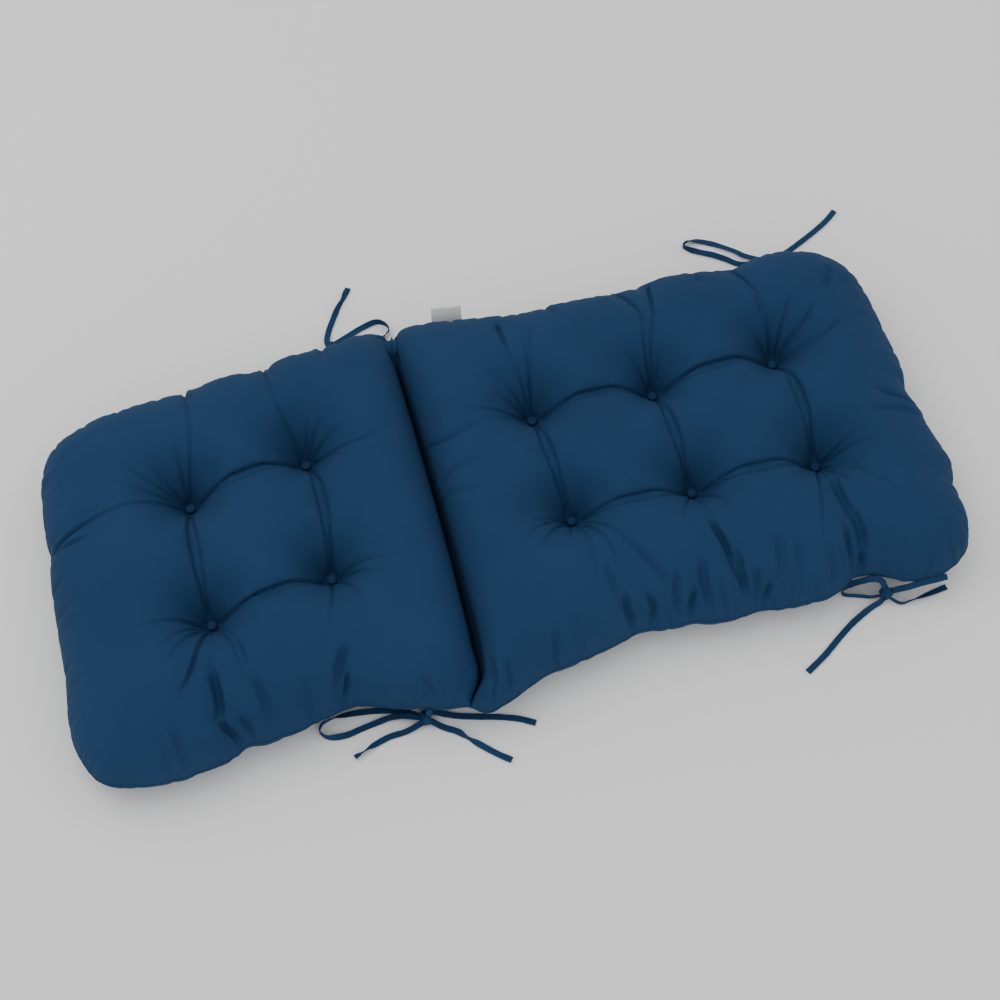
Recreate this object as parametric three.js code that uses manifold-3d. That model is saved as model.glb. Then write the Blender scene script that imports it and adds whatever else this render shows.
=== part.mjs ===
// Tufted high back chair cushion, lying on its back: seat to the left (-X), taller back to the right (+X).
// Millimetres, +Z up. The origin is on the floor under the middle of the cushion.
import * as THREE from "three";
import Module from "manifold-3d";
import { mergeVertices } from "three/addons/utils/BufferGeometryUtils.js";

// Driving heights above the floor
const SEAM_HEIGHT = 37;
const CROWN_HEIGHT = 106;
const BUTTON_SEAT_HEIGHT = 44;
const HINGE_TOP = 47;
const HINGE_UNDERSIDE = 24;

// How deep the weight of the cushion presses its underside flat
const UNDER_PRESSED = 0.9;

// Width of the rounded shoulders, seen from above
const TOP_SHOULDER = 92;
const UNDER_SHOULDER = 66;
const HINGE_SHOULDER = 50;
const UNDER_HINGE_SHOULDER = 48;

// Covered buttons
const BUTTON_RADIUS = 6.2;
const BUTTON_THICKNESS = 5.4;
const BUTTON_SIDES = 12;
const SEAT_FLARE = { out: 5, up: 14 };

// Room between pieces that touch, and the length below which edges are merged
const CLEARANCE = 0.3;
const SHORTEST_EDGE = 0.04;

// Tie tapes
const TAPE_WIDTH = 7.5;
const TAPE_THICKNESS = 1.6;
const TAPE_STEP = 5;
const FLOOR_CLEARANCE = 0.6;
const CORNER_INSET = 0.3;
const KNOT_SINK = 0.7;
const KNOT_SIDES = 16;

// Care label
const LABEL_WIDTH = 37;
const LABEL_THICKNESS = 1;
const LABEL_REACH = { out: 14, up: 27 };
const LABEL_STEPS = 5;
const LABEL_PLACE = { x: -7, y: 254.1, z: 36, turn: -7.5 };

const CLOTH_BLUE = new THREE.Color().setRGB(0.094, 0.235, 0.357, THREE.SRGBColorSpace);
const LABEL_WHITE = new THREE.Color().setRGB(0.9, 0.9, 0.88, THREE.SRGBColorSpace);

// Tufting points from above, on the seat and on the back, numbered away from the seat's front edge
const TUFTS = {
  seatFar1: { x: -347, y: 81 },
  seatFar2: { x: -203, y: 101 },
  seatNear1: { x: -355, y: -76 },
  seatNear2: { x: -210, y: -56 },
  backFar1: { x: 72, y: 87 },
  backFar2: { x: 222, y: 81 },
  backFar3: { x: 376, y: 84 },
  backNear1: { x: 77, y: -58 },
  backNear2: { x: 224, y: -61 },
  backNear3: { x: 376, y: -67 },
};
const TUFT_PULL = { depth: 60, radius: 78, sharpness: 2.1 };
const UNDER_TUFT = { depth: 7, radius: 40, sharpness: 2 };
const PULL_BLEND = 3;

// Edge seam from above, anticlockwise from the corner between the seat's front and near side.
// Columns x and y; a side named in from starts at that point.
const EDGE_POINTS = [
  { x: -514, y: -223, from: "seatNear" },
  { x: -484, y: -238 },
  { x: -430, y: -245 },
  { x: -394, y: -241 },
  { x: -364, y: -235.5 },
  { x: -351, y: -226 },
  { x: -336, y: -229 },
  { x: -290, y: -224 },
  { x: -252, y: -216 },
  { x: -222, y: -212 },
  { x: -185, y: -224 },
  { x: -150, y: -236 },
  { x: -125, y: -242.5 },
  { x: -110, y: -244.5 },
  { x: -98, y: -250, from: "backNear" },
  { x: -84, y: -261 },
  { x: -55, y: -254 },
  { x: -20, y: -240 },
  { x: -5, y: -234 },
  { x: 30, y: -230 },
  { x: 70, y: -222 },
  { x: 95, y: -216.5 },
  { x: 112, y: -211.5 },
  { x: 150, y: -217.5 },
  { x: 176, y: -217 },
  { x: 190, y: -222 },
  { x: 225, y: -226 },
  { x: 254, y: -222.5 },
  { x: 275, y: -228 },
  { x: 340, y: -229 },
  { x: 354, y: -224 },
  { x: 373, y: -212.5 },
  { x: 395, y: -215 },
  { x: 412, y: -222 },
  { x: 433, y: -234 },
  { x: 478, y: -236 },
  { x: 508, y: -217, from: "right" },
  { x: 521, y: -193 },
  { x: 525, y: -157 },
  { x: 524, y: -138 },
  { x: 533, y: -116 },
  { x: 526, y: -62 },
  { x: 525, y: -30 },
  { x: 518, y: -4 },
  { x: 526, y: 28 },
  { x: 525, y: 80 },
  { x: 524, y: 140 },
  { x: 518, y: 178 },
  { x: 503, y: 203, from: "farBack" },
  { x: 480, y: 223 },
  { x: 448, y: 235 },
  { x: 405, y: 238 },
  { x: 374, y: 229 },
  { x: 328, y: 236 },
  { x: 280, y: 240 },
  { x: 240, y: 234 },
  { x: 193, y: 236 },
  { x: 142, y: 238 },
  { x: 112, y: 236 },
  { x: 77, y: 240 },
  { x: 28, y: 248 },
  { x: -30, y: 257 },
  { x: -52, y: 258 },
  { x: -60, y: 250, from: "farSeat" },
  { x: -70, y: 258 },
  { x: -105, y: 260 },
  { x: -150, y: 254 },
  { x: -197, y: 253 },
  { x: -226, y: 244 },
  { x: -270, y: 246 },
  { x: -320, y: 238 },
  { x: -381, y: 235 },
  { x: -425, y: 230 },
  { x: -461, y: 218, from: "left" },
  { x: -491, y: 200 },
  { x: -509, y: 166 },
  { x: -515, y: 120 },
  { x: -517, y: 85 },
  { x: -515.5, y: 64 },
  { x: -520, y: 45 },
  { x: -525, y: -34 },
  { x: -527, y: -95 },
  { x: -532, y: -140 },
  { x: -531, y: -180 },
];

// Line of stitches that joins seat and back, from the near edge to the far edge
const HINGE_POINTS = [
  { x: -98, y: -250 },
  { x: -79, y: -63 },
  { x: -67, y: 118 },
  { x: -60, y: 250 },
];

// Folds of the top panel: from and to, sideways bow to the left of that direction, depth, half width
const FOLDS = [
  { from: "seatFar1", to: "seatFar2", bow: 3, depth: 20, half: 42 },
  { from: "seatNear1", to: "seatNear2", bow: 6, depth: 19, half: 40 },
  { from: "seatFar1", to: "seatNear1", bow: -9, depth: 20, half: 40 },
  { from: "seatFar2", to: "seatNear2", bow: 10, depth: 18, half: 38 },
  { from: "backFar1", to: "backFar2", bow: 7, depth: 20, half: 42 },
  { from: "backFar2", to: "backFar3", bow: 5, depth: 21, half: 42 },
  { from: "backNear1", to: "backNear2", bow: 4, depth: 19, half: 40 },
  { from: "backNear2", to: "backNear3", bow: 0, depth: 20, half: 40 },
  { from: "backFar1", to: "backNear1", bow: -5, depth: 17, half: 38 },
  { from: "backFar2", to: "backNear2", bow: 0, depth: 19, half: 40 },
  { from: "backFar3", to: "backNear3", bow: 0, depth: 20, half: 40 },
  { from: "seatFar1", to: { x: -322, y: 236 }, bow: 10, depth: 17, half: 26 },
  { from: "seatFar1", to: { x: -422, y: 170 }, bow: 0, depth: 11, half: 20 },
  { from: "seatFar1", to: { x: -516, y: 60 }, bow: -6, depth: 17, half: 26 },
  { from: "seatFar2", to: { x: -228, y: 244 }, bow: 8, depth: 16, half: 26 },
  { from: "seatFar2", to: { x: -68, y: 120 }, bow: 8, depth: 11, half: 24 },
  { from: "seatNear2", to: { x: -82, y: -60 }, bow: 0, depth: 11, half: 24 },
  { from: "seatNear2", to: { x: -245, y: -209 }, bow: -8, depth: 14, half: 24 },
  { from: "seatNear1", to: { x: -528, y: -75 }, bow: 3, depth: 9, half: 24 },
  { from: "seatNear1", to: { x: -432, y: -240 }, bow: -5, depth: 15, half: 22 },
  { from: "seatNear1", to: { x: -351, y: -225 }, bow: -10, depth: 17, half: 24 },
  { from: "backFar1", to: { x: -62, y: 210 }, bow: 0, depth: 14, half: 26 },
  { from: "backFar1", to: { x: 80, y: 242 }, bow: -9, depth: 13, half: 24 },
  { from: "backFar1", to: { x: -70, y: 78 }, bow: 0, depth: 11, half: 26 },
  { from: "backFar2", to: { x: 237, y: 231 }, bow: -6, depth: 18, half: 26 },
  { from: "backFar3", to: { x: 374, y: 228 }, bow: -8, depth: 18, half: 26 },
  { from: "backFar3", to: { x: 523, y: 118 }, bow: -10, depth: 15, half: 24 },
  { from: "backNear3", to: { x: 530, y: -90 }, bow: 4, depth: 14, half: 26 },
  { from: "backNear3", to: { x: 373, y: -213 }, bow: 6, depth: 18, half: 24 },
  { from: "backNear2", to: { x: 255, y: -221 }, bow: 10, depth: 18, half: 24 },
  { from: "backNear1", to: { x: 110, y: -214 }, bow: -6, depth: 14, half: 24 },
  { from: "backNear1", to: { x: -76, y: -95 }, bow: 4, depth: 11, half: 26 },
];
const FOLD_SHARPNESS = 1.6;
const FOLD_FADE = 0.35;

// Grid of the cushion's faces: usual lengths, and cells in the open field and on each shoulder
const SEAT_LENGTH = 440;
const BACK_LENGTH = 595;
const CUSHION_WIDTH = 490;
const GRID_SHOULDER = 80;
const SEAT_CELLS = 19;
const BACK_CELLS = 30;
const ACROSS_CELLS = 19;
const SHOULDER_CELLS = 6;
const HINGE_CELLS = 5;

// Samples for each stretch between two points of the edge seam, and for each whole fold and seam
const EDGE_SAMPLES = 60;
const EDGE_CHECKS = 4;
const HINGE_CHECKS = 12;
const FOLD_CHECKS = 8;

function asVectors(points) {
  return points.map((p) => new THREE.Vector3(p.x, p.y, 0));
}

const edgeCurve = new THREE.CatmullRomCurve3(asVectors(EDGE_POINTS), true, "centripetal");
const hingeCurve = new THREE.CatmullRomCurve3(asVectors(HINGE_POINTS), false, "centripetal");

// A side of the edge seam, read by its share of length from its start to the next side's start
function sideCurve(name) {
  const names = EDGE_POINTS.map((p) => p.from);
  const starts = names.flatMap((n, i) => (n ? [i] : []));
  const first = names.indexOf(name);
  const last = starts.find((i) => i > first) ?? EDGE_POINTS.length;
  const points = [];
  for (let k = first * EDGE_SAMPLES; k <= last * EDGE_SAMPLES; k += 1) {
    points.push(edgeCurve.getPoint((k / (EDGE_POINTS.length * EDGE_SAMPLES)) % 1));
  }
  return polyline(points);
}

function polyline(points) {
  const reach = [0];
  for (let i = 1; i < points.length; i += 1) reach.push(reach[i - 1] + points[i].distanceTo(points[i - 1]));
  const length = reach[reach.length - 1];
  return (share) => {
    const target = share * length;
    let i = 1;
    while (i < points.length - 1 && reach[i] < target) i += 1;
    const step = (target - reach[i - 1]) / (reach[i] - reach[i - 1]);
    return points[i - 1].clone().lerp(points[i], step);
  };
}

// Shares of a width: close together on the rounded shoulders and even between them
function spread(width, start, end, middleCells) {
  const places = [];
  const inward = (side, i) => side.width * (1 - Math.cos((Math.PI / 2) * (i / side.cells)));
  for (let i = 0; i < start.cells; i += 1) places.push(inward(start, i));
  const middle = width - start.width - end.width;
  for (let i = 0; i <= middleCells; i += 1) places.push(start.width + middle * (i / middleCells));
  for (let i = end.cells - 1; i >= 0; i -= 1) places.push(width - inward(end, i));
  return places.map((place) => place / width);
}

// Grid of points between four curves that meet at their ends
function patch(near, far, start, end, alongShares, acrossShares) {
  const corners = [near(0), near(1), far(0), far(1)];
  return alongShares.map((u) =>
    acrossShares.map((v) => {
      const ruled = near(u).multiplyScalar(1 - v).addScaledVector(far(u), v);
      ruled.addScaledVector(start(v), 1 - u).addScaledVector(end(v), u);
      ruled.addScaledVector(corners[0], -(1 - u) * (1 - v)).addScaledVector(corners[1], -u * (1 - v));
      ruled.addScaledVector(corners[2], -(1 - u) * v).addScaledVector(corners[3], -u * v);
      return ruled;
    })
  );
}

function backwards(curve) {
  return (share) => curve(1 - share);
}

// Plan of the whole cushion as one grid: columns along the length, each with points from near to far
function planGrid() {
  const hinge = polyline(hingeCurve.getPoints(EDGE_SAMPLES));
  const rim = { width: GRID_SHOULDER, cells: SHOULDER_CELLS };
  const fold = { width: HINGE_SHOULDER, cells: HINGE_CELLS };
  const across = spread(CUSHION_WIDTH, rim, rim, ACROSS_CELLS);
  const seat = patch(
    sideCurve("seatNear"),
    backwards(sideCurve("farSeat")),
    backwards(sideCurve("left")),
    hinge,
    spread(SEAT_LENGTH, rim, fold, SEAT_CELLS),
    across
  );
  const back = patch(
    sideCurve("backNear"),
    backwards(sideCurve("farBack")),
    hinge,
    sideCurve("right"),
    spread(BACK_LENGTH, fold, rim, BACK_CELLS),
    across
  );
  return seat.concat(back.slice(1));
}

function distanceToSegment(p, a, b) {
  const run = b.clone().sub(a);
  const share = THREE.MathUtils.clamp(p.clone().sub(a).dot(run) / run.lengthSq(), 0, 1);
  return { distance: p.distanceTo(a.clone().addScaledVector(run, share)), share };
}

function distanceToLine(p, points) {
  let best = { distance: Infinity, share: 0 };
  for (let i = 1; i < points.length; i += 1) {
    const found = distanceToSegment(p, points[i - 1], points[i]);
    if (found.distance < best.distance) {
      best = { distance: found.distance, share: (i - 1 + found.share) / (points.length - 1) };
    }
  }
  return best;
}

// Rise of a rounded shoulder, from 0 at its foot to 1 at its width: a quarter of an ellipse
function shoulder(distance, width) {
  const left = 1 - Math.min(distance / width, 1);
  return Math.sqrt(1 - left * left);
}

function foldPoints(fold) {
  const from = TUFTS[fold.from];
  const to = TUFTS[fold.to] ?? fold.to;
  const start = new THREE.Vector3(from.x, from.y, 0);
  const end = new THREE.Vector3(to.x, to.y, 0);
  const run = end.clone().sub(start);
  const aside = new THREE.Vector3(-run.y, run.x, 0).normalize();
  const middle = start.clone().addScaledVector(run, 0.5).addScaledVector(aside, 2 * fold.bow);
  return new THREE.QuadraticBezierCurve3(start, middle, end).getPoints(FOLD_CHECKS);
}

const foldLines = FOLDS.map((fold) => ({ ...fold, points: foldPoints(fold), open: !TUFTS[fold.to] }));
const tuftPoints = asVectors(Object.values(TUFTS));
const edgeLine = edgeCurve.getPoints(EDGE_POINTS.length * EDGE_CHECKS);
const hingeLine = hingeCurve.getPoints(HINGE_CHECKS);

// How far the top panel is pulled in by buttons and folds; the deepest pull wins, softly
function pull(p) {
  let sum = 0;
  for (const tuft of tuftPoints) {
    const r = Math.max(0, p.distanceTo(tuft) - BUTTON_RADIUS) / TUFT_PULL.radius;
    if (r < 1) sum += (TUFT_PULL.depth * (1 - r) ** TUFT_PULL.sharpness) ** PULL_BLEND;
  }
  for (const fold of foldLines) {
    const { distance, share } = distanceToLine(p, fold.points);
    const fade = fold.open ? 1 - FOLD_FADE * share : 1;
    if (distance < fold.half) {
      sum += (fold.depth * fade * (1 - distance / fold.half) ** FOLD_SHARPNESS) ** PULL_BLEND;
    }
  }
  return sum ** (1 / PULL_BLEND);
}

function topHeight(p) {
  const rise = shoulder(distanceToLine(p, edgeLine).distance, TOP_SHOULDER);
  const fromHinge = distanceToLine(p, hingeLine).distance;
  const stitched = HINGE_TOP - SEAM_HEIGHT;
  const full = stitched + (CROWN_HEIGHT - SEAM_HEIGHT - stitched) * shoulder(fromHinge, HINGE_SHOULDER);
  return SEAM_HEIGHT + (full - pull(p) * shoulder(fromHinge, HINGE_SHOULDER)) * rise;
}

function undersideHeight(p) {
  const edge = SEAM_HEIGHT * (1 - shoulder(distanceToLine(p, edgeLine).distance, UNDER_SHOULDER));
  const fromHinge = distanceToLine(p, hingeLine).distance;
  const hinge = HINGE_UNDERSIDE * (1 - shoulder(fromHinge, UNDER_HINGE_SHOULDER));
  let dent = 0;
  for (const tuft of tuftPoints) {
    const r = p.distanceTo(tuft) / UNDER_TUFT.radius;
    if (r < 1) dent = UNDER_TUFT.depth * (1 - r) ** UNDER_TUFT.sharpness;
  }
  return Math.max(0, Math.max(edge, hinge, dent) - UNDER_PRESSED);
}

// Closed body between the top and the underside, which share the points of the edge seam
function cushionBody() {
  const grid = planGrid();
  const columns = grid.length;
  const rows = grid[0].length;
  const positions = [];
  const top = [];
  const under = [];
  for (let i = 0; i < columns; i += 1) {
    top.push([]);
    under.push([]);
    for (let j = 0; j < rows; j += 1) {
      const p = grid[i][j];
      const onSeam = i === 0 || j === 0 || i === columns - 1 || j === rows - 1;
      top[i].push(positions.length / 3);
      positions.push(p.x, p.y, onSeam ? SEAM_HEIGHT : topHeight(p));
      under[i].push(onSeam ? top[i][j] : positions.length / 3);
      if (!onSeam) positions.push(p.x, p.y, undersideHeight(p));
    }
  }
  const faces = [];
  const addCell = (a, b, c, d, flip) => {
    if (flip) faces.push(a, b, d, b, c, d);
    else faces.push(a, b, c, a, c, d);
  };
  for (let i = 0; i + 1 < columns; i += 1) {
    for (let j = 0; j + 1 < rows; j += 1) {
      const corner = (i === 0 && j === 0) || (i === columns - 2 && j === rows - 2);
      const otherCorner = (i === 0 && j === rows - 2) || (i === columns - 2 && j === 0);
      const flip = otherCorner ? false : corner || (i + j) % 2 === 0;
      addCell(top[i][j], top[i + 1][j], top[i + 1][j + 1], top[i][j + 1], flip);
      addCell(under[i][j], under[i][j + 1], under[i + 1][j + 1], under[i + 1][j], !flip);
    }
  }
  return { positions, faces };
}

const wasm = await Module();
wasm.setup();

function toSolid(positions, faces) {
  const mesh = new wasm.Mesh({
    numProp: 3,
    vertProperties: new Float32Array(positions),
    triVerts: new Uint32Array(faces),
  });
  return new wasm.Manifold(mesh);
}

function solidOf(geometry) {
  const bare = geometry.clone();
  bare.deleteAttribute("normal");
  bare.deleteAttribute("uv");
  const merged = mergeVertices(bare, 1e-4);
  return toSolid(merged.attributes.position.array, merged.index.array);
}

function geometryOf(solid) {
  const mesh = solid.simplify(SHORTEST_EDGE).getMesh();
  const geometry = new THREE.BufferGeometry();
  geometry.setAttribute("position", new THREE.BufferAttribute(mesh.vertProperties, 3));
  geometry.setIndex(new THREE.BufferAttribute(mesh.triVerts, 1));
  geometry.computeVertexNormals();
  return geometry;
}

function lathe(profile, sides) {
  const geometry = new THREE.LatheGeometry(profile.map(([r, z]) => new THREE.Vector2(r, z)), sides);
  return geometry.rotateX(Math.PI / 2);
}

// Flared seat that a button sinks into, standing clear of the button all round
function buttonSeat(tuft) {
  const radius = BUTTON_RADIUS + CLEARANCE;
  const profile = [
    [0, -CLEARANCE],
    [radius, -CLEARANCE],
    [radius + SEAT_FLARE.out, SEAT_FLARE.up],
    [0, SEAT_FLARE.up],
  ];
  return lathe(profile, BUTTON_SIDES).translate(tuft.x, tuft.y, BUTTON_SEAT_HEIGHT);
}

function buttonGeometry() {
  const r = BUTTON_RADIUS;
  const h = BUTTON_THICKNESS;
  const profile = [
    [0, 0],
    [0.82 * r, 0],
    [r, 0.3 * h],
    [0.94 * r, 0.62 * h],
    [0.66 * r, 0.88 * h],
    [0, h],
  ];
  return lathe(profile, BUTTON_SIDES);
}

// Tape path whose flat side stays level, turned about the path by the roll at each point
class TapePath extends THREE.CatmullRomCurve3 {
  constructor(points, rolls) {
    super(points, false, "centripetal");
    this.rolls = rolls;
  }

  rollAt(share) {
    const place = this.getUtoTmapping(share) * (this.rolls.length - 1);
    const i = Math.min(Math.floor(place), this.rolls.length - 2);
    return THREE.MathUtils.lerp(this.rolls[i], this.rolls[i + 1], place - i);
  }

  computeFrenetFrames(steps) {
    const up = new THREE.Vector3(0, 0, 1);
    const frames = { tangents: [], normals: [], binormals: [] };
    for (let i = 0; i <= steps; i += 1) {
      const tangent = this.getTangentAt(i / steps);
      const aside = new THREE.Vector3().crossVectors(tangent, up).normalize();
      aside.applyAxisAngle(tangent, this.rollAt(i / steps));
      frames.tangents.push(tangent);
      frames.binormals.push(aside);
      frames.normals.push(new THREE.Vector3().crossVectors(aside, tangent));
    }
    return frames;
  }
}

function tapeSection() {
  const w = TAPE_WIDTH / 2;
  const t = TAPE_THICKNESS / 2;
  const inset = CORNER_INSET;
  const shape = new THREE.Shape();
  shape.moveTo(-t + inset, -w);
  shape.lineTo(t - inset, -w);
  shape.lineTo(t, -w + inset);
  shape.lineTo(t, w - inset);
  shape.lineTo(t - inset, w);
  shape.lineTo(-t + inset, w);
  shape.lineTo(-t, w - inset);
  shape.lineTo(-t, -w + inset);
  shape.closePath();
  return shape;
}

// Knots where the tapes are tied: centre, and half sizes along the edge, across it and upwards
const KNOTS = {
  tie_near_seat_knot: { x: -148, y: -236, z: 9, along: 5.5, across: 9, up: 7.5 },
  tie_near_back_knot: { x: 407.6, y: -232, z: 12, along: 7, across: 8, up: 9 },
  tie_far_seat_knot: { x: -131, y: 283, z: 9, along: 7, across: 7, up: 7.5 },
  tie_far_back_knot: { x: 430, y: 258, z: 9.5, along: 7, across: 7, up: 8 },
};

// Routes of the tapes, columns x, y, height and roll in degrees. A height of 0 lies on the floor, and a
// roll of 90 stands the tape on its edge. A tape tied in a knot starts or ends at the knot's side.
const TAPES = {
  tie_near_seat_root: {
    endsAt: "tie_near_seat_knot",
    rows: [
      [-144, -240, 36, 0],
      [-144, -239.8, 29, 0],
      [-144, -239.3, 21, 0],
      [-144, -237, 15, 0],
    ],
  },
  tie_near_seat_loop: {
    startsAt: "tie_near_seat_knot",
    endsAt: "tie_near_seat_knot",
    rows: [
      [-156.5, -230.5, 9, 0],
      [-173, -217, 2, 0],
      [-195, -210, 0, 0],
      [-217, -206, 0, 0],
      [-234, -205, 0, 20],
      [-249, -206, 0, 70],
      [-262, -209.5, 0, 90],
      [-266.6, -217, 0, 90],
      [-261, -226, 0, 80],
      [-240, -229, 0, 10],
      [-221, -226, 0, 0],
      [-203, -223.5, 0, 0],
      [-185, -223, 5, 0],
      [-170, -228, 10, 0],
      [-156.5, -235.5, 14, 0],
    ],
  },
  tie_near_seat_tail_left: {
    startsAt: "tie_near_seat_knot",
    rows: [
      [-154, -243, 6, 0],
      [-173, -243, 0, 0],
      [-191.6, -244, 0, 0],
      [-210.6, -249, 0, 10],
      [-223, -254, 0, 65],
      [-236, -258, 0, 30],
    ],
  },
  tie_near_seat_tail_front: {
    startsAt: "tie_near_seat_knot",
    rows: [
      [-142.5, -241, 6, 0],
      [-130, -250, 0, 0],
      [-117, -259.5, 0, 20],
      [-108, -271, 0, 85],
      [-95, -283.5, 0, 15],
      [-80.7, -297.7, 0, 0],
      [-67.7, -309, 0, 0],
    ],
  },
  tie_near_seat_tail_right: {
    startsAt: "tie_near_seat_knot",
    rows: [
      [-140, -232, 11, 0],
      [-126, -235.5, 5, 0],
      [-113, -240, 0, 0],
      [-98.6, -245, 0, 0],
      [-66, -255, 0, 0],
      [-45, -263.4, 0, 0],
      [-29, -273, 0, 0],
    ],
  },
  tie_near_back_root: {
    endsAt: "tie_near_back_knot",
    rows: [
      [476, -241.4, 34.5, -30],
      [461, -241.8, 35, -30],
      [445, -240.4, 33, -30],
      [431, -238, 26, -30],
      [420, -234, 18, -30],
    ],
  },
  tie_near_back_loop: {
    startsAt: "tie_near_back_knot",
    endsAt: "tie_near_back_knot",
    rows: [
      [407, -228.5, 22, -30],
      [402, -223.5, 30, -30],
      [392, -219.8, 33, -30],
      [381, -216.5, 27, -30],
      [373, -212.6, 18, -45],
      [366.5, -210.6, 9, -70],
      [362, -212, 1, -90],
      [361.6, -216.2, 0, -90],
      [365.5, -219, 0, -90],
      [373, -221.6, 0, -90],
      [382, -225, 0, -90],
      [391, -228.6, 0, -85],
      [401, -232, 7, -80],
    ],
  },
  tie_near_back_tail_right: {
    startsAt: "tie_near_back_knot",
    rows: [
      [411, -239, 6, -80],
      [422, -246, 0, -85],
      [435, -246, 0, -75],
      [456, -243.4, 0, -30],
      [482, -239.2, 0, 0],
    ],
  },
  tie_near_back_tail_left: {
    startsAt: "tie_near_back_knot",
    rows: [
      [401, -237.5, 6, -50],
      [387, -241.5, 0, -40],
      [361.7, -252.5, 0, 0],
      [339.4, -266.3, 0, 0],
      [314.7, -283.2, 0, 0],
      [288.4, -298.1, 0, 0],
    ],
  },
  tie_far_seat_root: {
    endsAt: "tie_far_seat_knot",
    rows: [
      [-131, 258.1, 36, 0],
      [-131, 258.9, 29, 0],
      [-131, 265, 20, 0],
      [-131, 275, 13, 0],
    ],
  },
  tie_far_seat_loop: {
    startsAt: "tie_far_seat_knot",
    endsAt: "tie_far_seat_knot",
    rows: [
      [-123, 286, 14, 0],
      [-106, 298, 3, 0],
      [-83, 307, 0, 10],
      [-66, 308, 0, 60],
      [-56.5, 301, 0, 90],
      [-54.5, 293, 0, 90],
      [-61, 286, 0, 60],
      [-78, 281, 0, 0],
      [-99, 279, 0, 0],
      [-121, 279.5, 3, 0],
    ],
  },
  tie_far_seat_tail: {
    startsAt: "tie_far_seat_knot",
    rows: [
      [-134, 291.5, 7, 0],
      [-129, 310, 0, 0],
      [-118, 329, 0, 0],
      [-108, 343, 0, 45],
      [-101, 351, 0, 70],
      [-94, 362, 0, 25],
      [-88.3, 370, 0, 0],
    ],
  },
  tie_far_back_root: {
    endsAt: "tie_far_back_knot",
    rows: [
      [430, 238.9, 36, 0],
      [430, 239.6, 29, 0],
      [430, 244, 21, 0],
      [430, 251, 14, 0],
    ],
  },
  tie_far_back_loop: {
    startsAt: "tie_far_back_knot",
    endsAt: "tie_far_back_knot",
    rows: [
      [424, 266, 14, 0],
      [412, 279, 4, 0],
      [405, 289, 0, 15],
      [392, 300, 0, 15],
      [379, 310, 0, 0],
      [360.4, 318.9, 0, 20],
      [348, 319, 0, 80],
      [342.3, 314.3, 0, 90],
      [347, 308, 0, 70],
      [361, 300.4, 0, 10],
      [374, 291.6, 0, 30],
      [388.5, 281, 0, 20],
      [400.8, 271, 0, 0],
      [420, 259, 3, 0],
    ],
  },
  tie_far_back_tail: {
    startsAt: "tie_far_back_knot",
    rows: [
      [439, 260, 8, 0],
      [451, 264, 2, 0],
      [470, 271, 0, 0],
      [492, 281, 0, 0],
      [516, 293, 0, 0],
      [535, 304, 0, 0],
      [550.4, 315.8, 0, 0],
    ],
  },
};

// Point of a route that meets a knot, moved into the knot along its own direction
function sinkInto(point, knot) {
  const away = point.clone().sub(knot);
  const reach = 1 / Math.hypot(away.x / knot.along, away.y / knot.across, away.z / knot.up);
  return away.multiplyScalar(KNOT_SINK * reach).add(knot);
}

function tapePath({ rows, startsAt, endsAt }) {
  const rolls = rows.map(([, , , roll]) => THREE.MathUtils.degToRad(roll));
  const points = rows.map(([x, y, height], i) => {
    const halfHeight = 0.5 * (TAPE_WIDTH * Math.abs(Math.sin(rolls[i])) + TAPE_THICKNESS * Math.cos(rolls[i]));
    return new THREE.Vector3(x, y, Math.max(height, halfHeight + FLOOR_CLEARANCE));
  });
  if (startsAt) points[0] = sinkInto(points[0], KNOTS[startsAt]);
  if (endsAt) points[points.length - 1] = sinkInto(points[points.length - 1], KNOTS[endsAt]);
  return new TapePath(points, rolls);
}

// Tape along its route, cut back where it meets its knot so that it stands just clear of it
function tapeGeometry(route) {
  const path = tapePath(route);
  const steps = Math.round(path.getLength() / TAPE_STEP);
  const extruded = new THREE.ExtrudeGeometry(tapeSection(), { extrudePath: path, steps, bevelEnabled: false });
  const knot = KNOTS[route.startsAt ?? route.endsAt];
  const room = knotGeometry(knot, CLEARANCE).translate(knot.x, knot.y, knot.z);
  return geometryOf(solidOf(extruded).subtract(solidOf(room)));
}

function knotGeometry({ along, across, up }, margin = 0) {
  const profile = [
    [0, -1],
    [0.62, -0.78],
    [0.95, -0.3],
    [0.95, 0.3],
    [0.62, 0.78],
    [0, 1],
  ];
  return lathe(profile, KNOT_SIDES).scale(along + margin, across + margin, up + margin);
}

// Folded white tape sewn into the far edge beside the seam between seat and back, curving up and outwards
function labelGeometry() {
  const face = new THREE.QuadraticBezierCurve(
    new THREE.Vector2(0, 0),
    new THREE.Vector2(LABEL_REACH.out / 2, 0.43 * LABEL_REACH.up),
    new THREE.Vector2(LABEL_REACH.out, LABEL_REACH.up)
  );
  const front = face.getPoints(LABEL_STEPS);
  const rear = front.map((p, i) => {
    const along = face.getTangent(i / LABEL_STEPS);
    return new THREE.Vector2(p.x + along.y * LABEL_THICKNESS, p.y - along.x * LABEL_THICKNESS);
  });
  const shape = new THREE.Shape(rear.concat(front.reverse()));
  const geometry = new THREE.ExtrudeGeometry(shape, { depth: LABEL_WIDTH, steps: 2, bevelEnabled: false });
  // The profile's x points away from the cushion and its y up; the extrusion runs along the edge
  const basis = new THREE.Matrix4().makeBasis(
    new THREE.Vector3(0, 1, 0),
    new THREE.Vector3(0, 0, 1),
    new THREE.Vector3(1, 0, 0)
  );
  return geometry.applyMatrix4(basis);
}

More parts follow.
